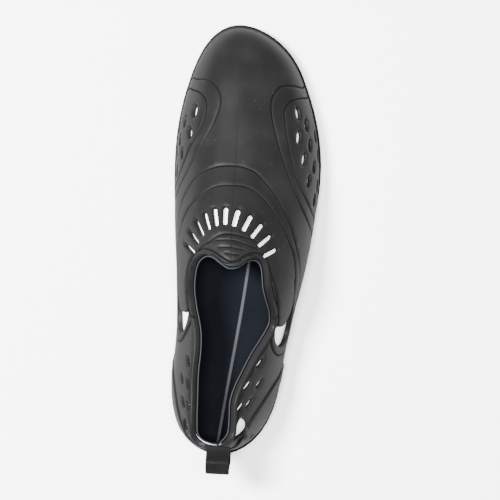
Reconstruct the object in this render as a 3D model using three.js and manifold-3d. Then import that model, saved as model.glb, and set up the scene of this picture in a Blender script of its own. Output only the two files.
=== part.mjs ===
// A slip-on water shoe for the right foot: a moulded shell with drain holes, on a separate sole,
// with a loose insole and a pull loop at the heel.
// Millimetres. +Y runs from heel to toe, +X to the outer side of the foot, +Z up.
import * as THREE from 'three';
import { mergeVertices } from 'three/addons/utils/BufferGeometryUtils.js';
import Module from 'manifold-3d';

const wasm = await Module();
wasm.setup();

// The shoe as a whole
const SHOE_LENGTH = 282;
const BALL_WIDTH = 96;
const INSTEP_HEIGHT = 78;
const HEEL_LEAN = 6;
const HEEL_LEAN_REACH = 18;
const GAP = 0.3;

// The sole
const HEEL_THICKNESS = 9;
const FOREPART_THICKNESS = 5.5;
const TOE_SPRING = 10;
const ARCH_RISE = 2.5;
const HEEL_BEVEL = 1.5;
const RIM_AT_HEEL = 2.6;
const RIM_AT_TOE = 2;
const RIM_AT_SIDE = 1.6;
const RIM_HEIGHT = 3.6;
const RIB_PITCH = 3.4;
const RIB_DEPTH = 0.5;
const WELT_INSET = 2.2;
const TREAD_INSET = 1;
const TREAD_DEPTH = 2;
const TREAD_BORDER = 5;
const TREAD_PITCH = 16;
const TREAD_GROOVE = 3;
const TREAD_WAVE = 3;
const TREAD_WAVE_LENGTH = 48;

// The moulded shell
const WALL = 2.4;
const BORDER_STEP = 0.5;
const PANEL_STEP = 1;
const COLLAR_STEP = 1.5;
const COLLAR_BEAD = 2.4;
const SIDE_RECESS = 0.6;
const MESH_RECESS = 1.2;
const BAND_STEP = 0.8;
const HOLE_LENGTH = 9;
const HOLE_WIDTH = 3.4;
const QUARTER_HOLE_LENGTH = 8.4;
const QUARTER_HOLE_WIDTH = 2.8;
const SLOT_LENGTH = 13;
const SLOT_WIDTH = 3;
const SLOT_COUNT = 11;

// The insole and the pull loop
const INSOLE_THICKNESS = 3;
const LOOP_WIDTH = 15;
const LOOP_STRAP = 2;
const LOOP_TOP_HEIGHT = 59;
const LOOP_FOOT_HEIGHT = 38;
const LOOP_REACH = 14.6;

// Sections of the last. at is a share of the length, and the next five are shares of the ball width:
// the sole's half width on the inner and the outer side, how far the wall swells past it, and how far
// the ridge lies off the middle. Shoulder and crown are shares of the way from ridge to edge, and top
// is a share of the instep height, measured from the floor.
const SECTION_COLUMNS = ['at', 'inner', 'outer', 'swellInner', 'swellOuter', 'ridge',
  'shoulderInner', 'shoulderOuter', 'crownInner', 'crownOuter', 'top'];
const SECTION_ROWS = [
  [0.000, 0.000, 0.000, 0.000, 0.000, -0.042, 0.78, 0.78, 0.54, 0.54, 0.859],
  [0.030, 0.215, 0.218, 0.026, 0.026, -0.048, 0.94, 0.66, 0.84, 0.33, 0.862],
  [0.090, 0.315, 0.338, 0.036, 0.042, -0.056, 0.93, 0.61, 0.76, 0.27, 0.867],
  [0.180, 0.342, 0.400, 0.047, 0.057, -0.047, 0.84, 0.62, 0.54, 0.26, 0.869],
  [0.300, 0.323, 0.430, 0.073, 0.104, -0.010, 0.84, 0.70, 0.40, 0.30, 0.878],
  [0.420, 0.321, 0.494, 0.130, 0.130, -0.005, 0.90, 0.74, 0.42, 0.32, 0.994],
  [0.540, 0.373, 0.567, 0.083, 0.094, -0.016, 0.86, 0.72, 0.46, 0.36, 0.872],
  [0.650, 0.401, 0.603, 0.036, 0.042, 0.005, 0.84, 0.75, 0.48, 0.42, 0.699],
  [0.760, 0.393, 0.573, 0.021, 0.021, 0.016, 0.82, 0.78, 0.46, 0.44, 0.590],
  [0.860, 0.338, 0.482, 0.010, 0.010, 0.016, 0.80, 0.78, 0.44, 0.42, 0.519],
  [0.935, 0.259, 0.362, 0.004, 0.004, 0.008, 0.78, 0.78, 0.42, 0.42, 0.442],
  [0.980, 0.158, 0.202, 0.000, 0.000, 0.002, 0.776, 0.776, 0.414, 0.414, 0.340],
  [1.000, 0.000, 0.000, 0.000, 0.000, 0.000, 0.776, 0.776, 0.414, 0.414, 0.000],
];
const SECTIONS = SECTION_ROWS.map((row) => Object.fromEntries(SECTION_COLUMNS.map((name, i) => [name, row[i]])));

// How high the wall stands at the inner control points of a section, as shares of its height
const FOOT_RISE = 0.414;
const SHOULDER_RISE = 0.79;

// Places on the shell are rows of [station, around]. station runs from 0 at the heel to 1 at the toe
// and crowds towards both ends, as equal steps of a half turn do. around is 0 at the sole's outer
// edge, 1 on the ridge and 2 at the sole's inner edge.

// The opening for the foot, from the heel along the outer side, round the tab and back
const OPENING = [
  [0.000, 0.828], [0.050, 0.797], [0.100, 0.745], [0.128, 0.698], [0.180, 0.722], [0.210, 0.743],
  [0.233, 0.752], [0.267, 0.716], [0.285, 0.682], [0.323, 0.610], [0.347, 0.545], [0.362, 0.506],
  [0.375, 0.486], [0.390, 0.509], [0.404, 0.554], [0.418, 0.603], [0.432, 0.638], [0.446, 0.659],
  [0.457, 0.673], [0.466, 0.695], [0.472, 0.728], [0.474, 0.785], [0.471, 0.840], [0.466, 0.884],
  [0.462, 0.927], [0.460, 0.986], [0.461, 1.053], [0.466, 1.126], [0.470, 1.173], [0.474, 1.224],
  [0.476, 1.306], [0.471, 1.383], [0.463, 1.438], [0.451, 1.477], [0.423, 1.507], [0.395, 1.477],
  [0.381, 1.445], [0.354, 1.383], [0.324, 1.348], [0.294, 1.327], [0.267, 1.294], [0.239, 1.262],
  [0.206, 1.244], [0.175, 1.262], [0.141, 1.310], [0.100, 1.255], [0.050, 1.203], [0.000, 1.172],
];

// The pad that thickens the tab and both sides of the throat
const TAB_PAD = [
  [0.505, 1.020], [0.501, 0.880], [0.494, 0.775], [0.478, 0.700], [0.450, 0.628], [0.420, 0.548],
  [0.392, 0.490], [0.380, 0.560], [0.400, 0.800], [0.400, 1.200], [0.380, 1.400], [0.390, 1.480],
  [0.422, 1.510], [0.452, 1.488], [0.478, 1.370], [0.492, 1.234], [0.502, 1.120],
];

// The raised instep panel, with a rounded flap on each side, and the lower border round it
const PANEL = [
  [0.577, 1.040], [0.576, 0.922], [0.565, 0.810], [0.546, 0.701], [0.524, 0.605], [0.501, 0.517],
  [0.477, 0.441], [0.450, 0.385], [0.425, 0.340], [0.405, 0.318], [0.388, 0.330], [0.375, 0.365],
  [0.372, 0.405], [0.378, 0.445], [0.395, 0.500], [0.420, 0.580], [0.420, 1.000], [0.420, 1.420],
  [0.398, 1.500], [0.390, 1.545], [0.388, 1.600], [0.392, 1.655], [0.410, 1.690], [0.440, 1.680],
  [0.470, 1.668], [0.503, 1.619], [0.527, 1.543], [0.545, 1.447], [0.561, 1.323], [0.573, 1.194],
];
const BORDER = [
  [0.608, 1.020], [0.606, 0.950], [0.600, 0.870], [0.584, 0.774], [0.565, 0.673], [0.538, 0.569],
  [0.514, 0.485], [0.485, 0.401], [0.463, 0.337], [0.435, 0.275], [0.400, 0.212], [0.362, 0.170],
  [0.335, 0.205], [0.325, 0.300], [0.331, 0.390], [0.348, 0.460], [0.372, 0.520], [0.400, 0.800],
  [0.400, 1.200], [0.385, 1.450], [0.366, 1.520], [0.350, 1.590], [0.341, 1.650], [0.346, 1.730],
  [0.372, 1.790], [0.420, 1.780], [0.470, 1.735], [0.521, 1.680], [0.544, 1.623], [0.568, 1.519],
  [0.591, 1.379], [0.604, 1.210],
];

// The crescent cut out round the end of each flap
const OUTER_CRESCENT = [
  [0.446, 0.388], [0.424, 0.332], [0.400, 0.278], [0.378, 0.236], [0.359, 0.226], [0.345, 0.255],
  [0.338, 0.315], [0.341, 0.375], [0.352, 0.425], [0.370, 0.448], [0.371, 0.405], [0.374, 0.365],
  [0.387, 0.329], [0.405, 0.316], [0.424, 0.340],
];
const INNER_CRESCENT = [
  [0.462, 1.662], [0.440, 1.694], [0.414, 1.726], [0.390, 1.738], [0.370, 1.722], [0.357, 1.684],
  [0.353, 1.640], [0.357, 1.600], [0.367, 1.565], [0.379, 1.538], [0.394, 1.522], [0.389, 1.550],
  [0.387, 1.600], [0.391, 1.657], [0.410, 1.692], [0.438, 1.683],
];

// The two sunk terraces on each side of the forefoot, the lower one with the drain holes
const OUTER_SIDE = [
  [0.757, -0.060], [0.763, 0.253], [0.764, 0.437], [0.760, 0.597], [0.746, 0.689], [0.727, 0.741],
  [0.702, 0.754], [0.674, 0.737], [0.646, 0.701], [0.604, 0.609], [0.561, 0.465], [0.516, 0.220],
  [0.490, -0.060],
];
const OUTER_MESH = [
  [0.733, -0.060], [0.741, 0.257], [0.736, 0.437], [0.726, 0.557], [0.710, 0.617], [0.686, 0.633],
  [0.655, 0.616], [0.601, 0.530], [0.567, 0.393], [0.536, 0.196], [0.515, -0.060],
];
const INNER_SIDE = [
  [0.758, 2.060], [0.768, 1.639], [0.765, 1.439], [0.751, 1.303], [0.731, 1.222], [0.713, 1.206],
  [0.693, 1.230], [0.674, 1.267], [0.644, 1.359], [0.602, 1.523], [0.571, 1.691], [0.550, 1.850],
  [0.532, 2.060],
];
const INNER_MESH = [
  [0.736, 2.060], [0.743, 1.635], [0.735, 1.491], [0.722, 1.402], [0.707, 1.372], [0.690, 1.375],
  [0.666, 1.423], [0.634, 1.535], [0.604, 1.647], [0.582, 1.750], [0.566, 1.880], [0.552, 2.060],
];

// The raised band that sweeps up from the sole and round the heel, on the outer side; the inner side
// has the same one in mirror. It crosses the heel's middle, so rows go on past station 0.
const HEEL_BAND = [
  [0.312, -0.060], [0.300, 0.116], [0.269, 0.265], [0.237, 0.361], [0.210, 0.425], [0.175, 0.480],
  [0.130, 0.492], [0.070, 0.488], [0.000, 0.485], [-0.070, 0.488], [-0.130, 0.492], [-0.130, 0.300],
  [-0.069, 0.293], [0.000, 0.290], [0.069, 0.293], [0.130, 0.300], [0.189, 0.262], [0.224, 0.202],
  [0.261, 0.150], [0.284, 0.080], [0.292, -0.060],
];

// The leaf-shaped opening on each side of the heel
const OUTER_LEAF = [
  [0.190, 0.622], [0.185, 0.560], [0.174, 0.508], [0.156, 0.484], [0.138, 0.515], [0.122, 0.575],
  [0.108, 0.632], [0.118, 0.648], [0.150, 0.652], [0.176, 0.645],
];
const INNER_LEAF = [
  [0.188, 1.400], [0.176, 1.378], [0.148, 1.372], [0.112, 1.368], [0.094, 1.395], [0.116, 1.462],
  [0.150, 1.492], [0.176, 1.460],
];

// Drain holes: [station, around, turn in degrees]
const OUTER_HOLES = [
  [0.707, 0.449, 6], [0.687, 0.349, 6], [0.664, 0.481, 14], [0.669, 0.184, 0], [0.652, 0.330, 8],
  [0.637, 0.152, 0], [0.628, 0.425, 12], [0.617, 0.275, 8], [0.594, 0.352, 12], [0.588, 0.180, 6],
  [0.566, 0.235, 10],
];
const INNER_HOLES = [
  [0.701, 1.553, -6], [0.683, 1.719, -6], [0.662, 1.575, -14], [0.651, 1.780, -8], [0.628, 1.685, -12],
  [0.672, 1.885, 0], [0.628, 1.862, -6], [0.600, 1.790, -10],
];
const OUTER_QUARTER_HOLES = [
  [0.309, 0.528, 40], [0.271, 0.484, 40], [0.267, 0.617, 40], [0.228, 0.560, 40], [0.219, 0.655, 40],
];
const INNER_QUARTER_HOLES = [
  [0.307, 1.448, -35], [0.274, 1.517, -35], [0.265, 1.380, -35], [0.226, 1.440, -35], [0.218, 1.340, -35],
];

// The fan of vent slots across the instep: its centre and its two radii, in station and around
const FAN_CENTRE = [0.438, 1.065];
const FAN_STATION_RADIUS = 0.095;
const FAN_AROUND_RADIUS = 0.47;
const FAN_SPREAD = 62;

// Finish of each piece
const FINISHES = {
  upper: { color: 0x343436, roughness: 0.55 },
  outsole: { color: 0x1d1d1f, roughness: 0.7 },
  insole: { color: 0x1e2129, roughness: 0.95 },
  pull_loop: { color: 0x2c2c2e, roughness: 0.6 },
};

// How finely the shell and the sole are divided
const SHELL_CELLS_ALONG = 36;
const SHELL_CELLS_ACROSS = 18;
const SOLE_CELLS_ALONG = 28;
const PATTERN_GIRTH = 200;
const HOLE_SIDES = 8;

const HALF_TURN = Math.PI;
const radians = THREE.MathUtils.degToRad;
const smooth = (value) => THREE.MathUtils.smoothstep(value, 0, 1);

// Natural cubic spline through the values at the places
function spline(places, values) {
  const last = places.length - 1;
  const bend = new Array(last + 1).fill(0);
  const pivot = new Array(last + 1).fill(1);
  const right = new Array(last + 1).fill(0);
  for (let i = 1; i < last; i += 1) {
    const before = places[i] - places[i - 1];
    const after = places[i + 1] - places[i];
    const share = i > 1 ? before / pivot[i - 1] : 0;
    const slopes = 6 * ((values[i + 1] - values[i]) / after - (values[i] - values[i - 1]) / before);
    pivot[i] = 2 * (before + after) - share * (i > 1 ? before : 0);
    right[i] = slopes - share * right[i - 1];
  }
  for (let i = last - 1; i > 0; i -= 1) {
    const after = places[i + 1] - places[i];
    bend[i] = (right[i] - after * bend[i + 1]) / pivot[i];
  }
  return (place) => {
    let i = 0;
    while (i < last - 1 && place > places[i + 1]) i += 1;
    const span = places[i + 1] - places[i];
    const a = (places[i + 1] - place) / span;
    const b = (place - places[i]) / span;
    const curve = ((a ** 3 - a) * bend[i] + (b ** 3 - b) * bend[i + 1]) * span * span / 6;
    return a * values[i] + b * values[i + 1] + curve;
  };
}

const stationOf = (share) => Math.acos(1 - 2 * share) / HALF_TURN;
const shareOf = (station) => (1 - Math.cos(HALF_TURN * station)) / 2;

// A column of the sections as a smooth function of station. Past the heel and the toe the rows are
// repeated in mirror, with a sign of -1 for what changes side there, so both ends come out round.
function column(read, heelSign, toeSign) {
  const stations = SECTIONS.map((row) => stationOf(row.at));
  const values = SECTIONS.map(read);
  const end = stations.length - 1;
  return spline(
    [-stations[2], -stations[1], ...stations, 2 - stations[end - 1], 2 - stations[end - 2]],
    [heelSign * values[2], heelSign * values[1], ...values, toeSign * values[end - 1], toeSign * values[end - 2]],
  );
}

// The sole's underside and top over the length
function soleBottom(y) {
  const share = y / SHOE_LENGTH;
  const toe = THREE.MathUtils.clamp((share - 0.74) / 0.26, 0, 1);
  const waist = THREE.MathUtils.clamp((share - 0.27) / 0.28, 0, 1);
  const heel = THREE.MathUtils.clamp((0.05 - share) / 0.05, 0, 1);
  return TOE_SPRING * toe ** 2 + ARCH_RISE * Math.sin(HALF_TURN * waist) ** 2 + HEEL_BEVEL * heel ** 2;
}
function soleThickness(y) {
  const forward = smooth((y / SHOE_LENGTH - 0.25) / 0.33);
  return THREE.MathUtils.lerp(HEEL_THICKNESS, FOREPART_THICKNESS, forward);
}
const soleTop = (y) => soleBottom(y) + soleThickness(y);
const shellBase = (y) => soleTop(y) + GAP;

const curves = {
  inner: column((row) => row.inner * BALL_WIDTH, -1, -1),
  outer: column((row) => row.outer * BALL_WIDTH, -1, -1),
  swellInner: column((row) => row.swellInner * BALL_WIDTH, -1, -1),
  swellOuter: column((row) => row.swellOuter * BALL_WIDTH, -1, -1),
  ridge: column((row) => row.ridge * BALL_WIDTH, 1, 1),
  shoulderInner: column((row) => row.shoulderInner, 1, 1),
  shoulderOuter: column((row) => row.shoulderOuter, 1, 1),
  crownInner: column((row) => row.crownInner, 1, 1),
  crownOuter: column((row) => row.crownOuter, 1, 1),
  height: column((row) => (row.top ? row.top * INSTEP_HEIGHT - shellBase(row.at * SHOE_LENGTH) : 0), 1, -1),
};

// A quartic through five control values, at a share of the way
function quartic(values, share) {
  const rest = 1 - share;
  const weights = [rest ** 4, 4 * rest ** 3 * share, 6 * rest ** 2 * share ** 2, 4 * rest * share ** 3, share ** 4];
  return weights.reduce((sum, weight, i) => sum + weight * values[i], 0);
}

// The shell's outer face over the whole last, before anything is cut from it
function form(station, around) {
  const beyond = station < 0 || station > 1;
  const place = beyond ? (station < 0 ? -station : 2 - station) : station;
  const turn = beyond ? 2 - around : around;
  const side = turn <= 1 ? 1 : -1;
  const name = side > 0 ? 'Outer' : 'Inner';
  const rise = side > 0 ? turn : 2 - turn;
  const y = THREE.MathUtils.lerp(RIM_AT_HEEL, SHOE_LENGTH - RIM_AT_TOE, shareOf(place));
  const edge = curves[name.toLowerCase()](place) * (1 - RIM_AT_SIDE / (BALL_WIDTH / 2));
  const ridge = curves.ridge(place) * side;
  const shoulder = ridge + curves[`shoulder${name}`](place) * (edge - ridge);
  const crown = ridge + curves[`crown${name}`](place) * (edge - ridge);
  const out = quartic([edge, edge + curves[`swell${name}`](place), shoulder, crown, ridge], rise);
  const up = quartic([0, FOOT_RISE, SHOULDER_RISE, 1, 1], rise);
  const lean = HEEL_LEAN * Math.max(0, up) ** 1.5 * Math.exp(-(y - RIM_AT_HEEL) / HEEL_LEAN_REACH);
  return new THREE.Vector3(out * side, y + lean, shellBase(y) + curves.height(place) * up);
}

// The form's two directions and its outward normal at a place
const NUDGE = 1e-4;
function frameAt(station, around) {
  const along = form(station + NUDGE, around).sub(form(station - NUDGE, around)).divideScalar(2 * NUDGE);
  const across = form(station, around + NUDGE).sub(form(station, around - NUDGE)).divideScalar(2 * NUDGE);
  const normal = new THREE.Vector3().crossVectors(along, across).normalize();
  return { along, across, normal };
}

// A point that lies a distance proud of the form. The shell's lower edge stays on the sole and
// nothing dips below it. At the toe, where all lines meet, the wall runs straight forward.
function onForm(station, around, proud) {
  const atToe = station > 1 - NUDGE;
  const point = form(station, around);
  point.addScaledVector(atToe ? new THREE.Vector3(0, 1, 0) : frameAt(station, around).normal, proud);
  const base = shellBase(point.y);
  const atEdge = atToe || around < NUDGE || around > 2 - NUDGE;
  point.z = atEdge ? base : Math.max(point.z, base + 0.1);
  return point;
}

function solidFrom(geometry) {
  geometry.deleteAttribute('normal');
  geometry.deleteAttribute('uv');
  const merged = mergeVertices(geometry, 1e-5);
  const mesh = new wasm.Mesh({
    numProp: 3,
    vertProperties: new Float32Array(merged.attributes.position.array),
    triVerts: new Uint32Array(merged.index.array),
  });
  return new wasm.Manifold(mesh);
}

// A flat plate with its own two faces in every grid cell, so that cutting never joins cells across a
// bend, and with one face along each of its four sides
function gridPlate(lines, rows, low, high) {
  const nx = lines.length;
  const ny = rows.length;
  const vertices = [];
  const triangles = [];
  const faces = [];
  const at = (i, j, k) => (k * ny + j) * nx + i;
  for (const z of [low, high]) {
    for (const y of rows) {
      for (const x of lines) vertices.push(x, y, z);
    }
  }
  const quad = (a, b, c, d, side) => {
    triangles.push(a, b, c, a, c, d);
    faces.push(side ?? faces.length + 4, side ?? faces.length + 5);
  };
  for (let i = 0; i < nx - 1; i += 1) {
    for (let j = 0; j < ny - 1; j += 1) {
      quad(at(i, j, 0), at(i, j + 1, 0), at(i + 1, j + 1, 0), at(i + 1, j, 0));
      quad(at(i, j, 1), at(i + 1, j, 1), at(i + 1, j + 1, 1), at(i, j + 1, 1));
    }
    quad(at(i, 0, 0), at(i + 1, 0, 0), at(i + 1, 0, 1), at(i, 0, 1), 0);
    quad(at(i + 1, ny - 1, 0), at(i, ny - 1, 0), at(i, ny - 1, 1), at(i + 1, ny - 1, 1), 1);
  }
  for (let j = 0; j < ny - 1; j += 1) {
    quad(at(0, j + 1, 0), at(0, j, 0), at(0, j, 1), at(0, j + 1, 1), 2);
    quad(at(nx - 1, j, 0), at(nx - 1, j + 1, 0), at(nx - 1, j + 1, 1), at(nx - 1, j, 1), 3);
  }
  return new wasm.Manifold(new wasm.Mesh({
    numProp: 3,
    vertProperties: new Float32Array(vertices),
    triVerts: new Uint32Array(triangles),
    faceID: new Uint32Array(faces),
  }));
}

function prism(points, low, high) {
  const shape = new THREE.Shape(points.map(([x, y]) => new THREE.Vector2(x, y)));
  const geometry = new THREE.ExtrudeGeometry(shape, { depth: high - low, bevelEnabled: false });
  return solidFrom(geometry.translate(0, 0, low));
}

const range = (count, read) => Array.from({ length: count }, (_, i) => read(i));

// Takes a flat solid to its place: every vertex goes through place, vertices that meet there become
// one, and triangles that shrink to a line there are dropped, as are the pattern's two end faces.
const WELD = 2e-4;
function shaped(flat, place, isEndFace) {
  const mesh = flat.getMesh();
  const positions = [];
  const known = new Map();
  const index = [];
  const source = range(mesh.numVert, (i) => [...mesh.vertProperties.slice(i * mesh.numProp, i * mesh.numProp + 3)]);
  for (const vertex of source) {
    const point = place(vertex);
    const key = [point.x, point.y, point.z].map((value) => Math.round(value / WELD)).join();
    if (!known.has(key)) {
      known.set(key, positions.length / 3);
      positions.push(point.x, point.y, point.z);
    }
    index.push(known.get(key));
  }
  const triangles = [];
  for (let i = 0; i < mesh.triVerts.length; i += 3) {
    const corners = [...mesh.triVerts.slice(i, i + 3)];
    const [a, b, c] = corners.map((corner) => index[corner]);
    const shrunk = a === b || b === c || c === a;
    if (!shrunk && !isEndFace(corners.map((corner) => source[corner]))) triangles.push(a, b, c);
  }
  return geometryFrom(positions, triangles);
}

function geometryFrom(positions, triangles) {
  const geometry = new THREE.BufferGeometry();
  geometry.setAttribute('position', new THREE.Float32BufferAttribute(positions, 3));
  geometry.setIndex(triangles);
  geometry.computeVertexNormals();
  return geometry;
}

// The flat pattern: station and around as millimetres, with the wall's thickness in z
const toPattern = ([station, around]) => [station * SHOE_LENGTH, around / 2 * PATTERN_GIRTH];
const fromPattern = ([x, y]) => [x / SHOE_LENGTH, 2 * y / PATTERN_GIRTH];

function patternPlate(low, high, margin = 0) {
  const lines = range(SHELL_CELLS_ALONG + 1, (i) => i / SHELL_CELLS_ALONG * SHOE_LENGTH);
  const rows = range(SHELL_CELLS_ACROSS + 1, (j) => j / SHELL_CELLS_ACROSS * PATTERN_GIRTH);
  if (margin) {
    rows.unshift(-margin);
    rows.push(PATTERN_GIRTH + margin);
  }
  return gridPlate(lines, rows, low, high);
}

// A smooth closed line through rows of [station, around], with every row on it
function smoothLine(rows, stepsPerRow = 2) {
  const points = rows.map((row) => new THREE.Vector3(...toPattern(row), 0));
  const curve = new THREE.CatmullRomCurve3(points, true, 'centripetal');
  return curve.getPoints(stepsPerRow * rows.length).slice(0, -1).map((point) => fromPattern([point.x, point.y]));
}

const mirrored = (rows) => rows.map(([station, around, turn = 0]) => [station, 2 - around, -turn]);

// A closed line that crosses the heel's middle goes on past it as the mirror of its own other side
function roundTheHeel(rows, repeats = 3) {
  const past = (row) => [-row[0], 2 - row[1]];
  const before = rows.slice(-1 - repeats, -1).map(past);
  const after = rows.slice(1, 1 + repeats).map(past);
  return [...before, ...rows, ...after];
}

// The place that lies a short step away on the form, in a direction in space
function stepped([station, around], step) {
  const { along, across } = frameAt(station, around);
  const skew = along.dot(across);
  const size = along.lengthSq() * across.lengthSq() - skew ** 2;
  const a = step.dot(along);
  const b = step.dot(across);
  return [station + (a * across.lengthSq() - b * skew) / size, around + (b * along.lengthSq() - a * skew) / size];
}

// Moves each place of a closed line square to it, outwards on the form, by a distance, and leaves out
// the places that a sharp inward bend would fold over
function widened(line, distance) {
  const points = line.map((place) => form(...place));
  const moved = line.map((place, i) => {
    const before = points[(i + line.length - 1) % line.length];
    const after = points[(i + 1) % line.length];
    const out = after.clone().sub(before).cross(frameAt(...place).normal).setLength(distance / 4);
    return [1, 2, 3, 4].reduce((reached) => stepped(reached, out), place);
  });
  return moved.filter((place) => {
    const point = form(...place);
    return points.every((other) => point.distanceTo(other) > 0.93 * distance);
  });
}

// A point near a place on the form, from millimetres along the shoe and millimetres across it
function near([station, around], lengthwise, crosswise) {
  const { along, across } = frameAt(station, around);
  return [station + lengthwise / along.length(), around + crosswise / across.length()];
}

function ovalHole([station, around, turn], length, width) {
  const cos = Math.cos(radians(turn));
  const sin = Math.sin(radians(turn));
  return range(HOLE_SIDES, (i) => {
    const angle = 2 * HALF_TURN * i / HOLE_SIDES;
    const x = Math.cos(angle) * length / 2;
    const y = Math.sin(angle) * width / 2;
    return near([station, around], x * cos + y * sin, y * cos - x * sin);
  });
}

// A slot with round ends that points away from the fan's centre
function ventSlot(i) {
  const angle = radians(THREE.MathUtils.lerp(-FAN_SPREAD, FAN_SPREAD, i / (SLOT_COUNT - 1)));
  const offset = [FAN_STATION_RADIUS * Math.cos(angle), FAN_AROUND_RADIUS * Math.sin(angle)];
  const centre = [FAN_CENTRE[0] + offset[0], FAN_CENTRE[1] + offset[1]];
  const { along, across } = frameAt(...centre);
  const heading = Math.atan2(offset[1] * across.length(), offset[0] * along.length());
  const straight = (SLOT_LENGTH - SLOT_WIDTH) / 2;
  const perEnd = HOLE_SIDES / 2;
  return range(2 * perEnd, (k) => {
    const end = k < perEnd ? 1 : -1;
    const swing = -HALF_TURN / 2 + HALF_TURN * (k % perEnd) / (perEnd - 1) + (end < 0 ? HALF_TURN : 0);
    const x = end * straight + Math.cos(swing) * SLOT_WIDTH / 2;
    const y = Math.sin(swing) * SLOT_WIDTH / 2;
    return near(centre, x * Math.cos(heading) - y * Math.sin(heading), x * Math.sin(heading) + y * Math.cos(heading));
  });
}

function buildUpper() {
  const through = (line) => prism(line.map(toPattern), -2 * WALL, 2 * WALL);
  const raise = (line, step) => patternPlate(-WALL / 2, step).intersect(through(line));
  const recess = (line, step) => patternPlate(-step, 2 * WALL, TREAD_BORDER).intersect(through(line));
  const opening = smoothLine(roundTheHeel(OPENING));
  const bands = [HEEL_BAND, mirrored(HEEL_BAND)];
  let shell = patternPlate(-WALL, 0);
  for (const side of [OUTER_SIDE, INNER_SIDE]) shell = shell.subtract(recess(side, SIDE_RECESS));
  for (const side of [OUTER_MESH, INNER_MESH]) shell = shell.subtract(recess(side, MESH_RECESS));
  shell = shell.add(raise(BORDER, BORDER_STEP));
  shell = shell.add(raise(PANEL, PANEL_STEP));
  for (const band of bands) shell = shell.add(raise(band, BAND_STEP));
  shell = shell.add(raise(TAB_PAD, COLLAR_STEP));
  shell = shell.add(raise(widened(opening, COLLAR_BEAD), COLLAR_STEP));
  const cuts = [
    opening,
    OUTER_CRESCENT,
    INNER_CRESCENT,
    smoothLine(OUTER_LEAF),
    smoothLine(INNER_LEAF),
    ...range(SLOT_COUNT, ventSlot),
    ...[...OUTER_HOLES, ...INNER_HOLES].map((hole) => ovalHole(hole, HOLE_LENGTH, HOLE_WIDTH)),
    ...[...OUTER_QUARTER_HOLES, ...INNER_QUARTER_HOLES]
      .map((hole) => ovalHole(hole, QUARTER_HOLE_LENGTH, QUARTER_HOLE_WIDTH)),
  ];
  for (const cut of cuts) shell = shell.subtract(through(cut));
  const place = ([x, y, z]) => onForm(...fromPattern([x, y]), z);
  const isEndFace = (corners) => [0, SHOE_LENGTH].some((end) => corners.every(([x]) => Math.abs(x - end) < WELD));
  return shaped(shell, place, isEndFace);
}

// The sole's outline, moved in by inset, with its points a share of the way round each side
function soleOutline(inset, stations) {
  const point = (station, side) => {
    const width = side > 0 ? curves.outer(station) : curves.inner(station);
    return new THREE.Vector2(side * width, SHOE_LENGTH * shareOf(station));
  };
  const moved = (station, side, more) => {
    const before = station < NUDGE ? point(NUDGE, -side) : point(station - NUDGE, side);
    const after = station > 1 - NUDGE ? point(1 - NUDGE, -side) : point(station + NUDGE, side);
    const run = after.sub(before).normalize();
    const place = point(station, side);
    const depth = inset + more;
    return [place.x - side * run.y * depth, place.y + side * run.x * depth];
  };
  const outer = stations.map(({ station, more = 0 }) => moved(station, 1, more));
  const inner = stations.slice(1, -1).reverse().map(({ station, more = 0 }) => moved(station, -1, more));
  return [...outer, ...inner];
}

// Stations round the sole's edge: even ones, or close ones with every second point set in as a rib
const PLAIN_STATIONS = range(SOLE_CELLS_ALONG + 1, (i) => ({ station: i / SOLE_CELLS_ALONG }));
function ribbedStations() {
  const close = RIB_PITCH / SHOE_LENGTH;
  const list = [];
  let rib = 0;
  for (let station = 0; station < 1 - close / 2; station += station < 0.2 || station > 0.76 ? close : 3 * close) {
    const ribbed = station < 0.2 || station > 0.76;
    rib += 1;
    list.push({ station, more: ribbed && rib % 2 ? RIB_DEPTH : 0 });
  }
  return [...list, { station: 1 }];
}

// A wavy groove across the tread, centred on y
function treadGroove(y) {
  const reach = BALL_WIDTH;
  const steps = 14;
  const wave = (x) => y + TREAD_WAVE * Math.cos(2 * HALF_TURN * x / TREAD_WAVE_LENGTH);
  const xs = range(steps + 1, (i) => THREE.MathUtils.lerp(-reach, reach, i / steps));
  return [
    ...xs.map((x) => [x, wave(x) - TREAD_GROOVE / 2]),
    ...xs.reverse().map((x) => [x, wave(x) + TREAD_GROOVE / 2]),
  ];
}

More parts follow.
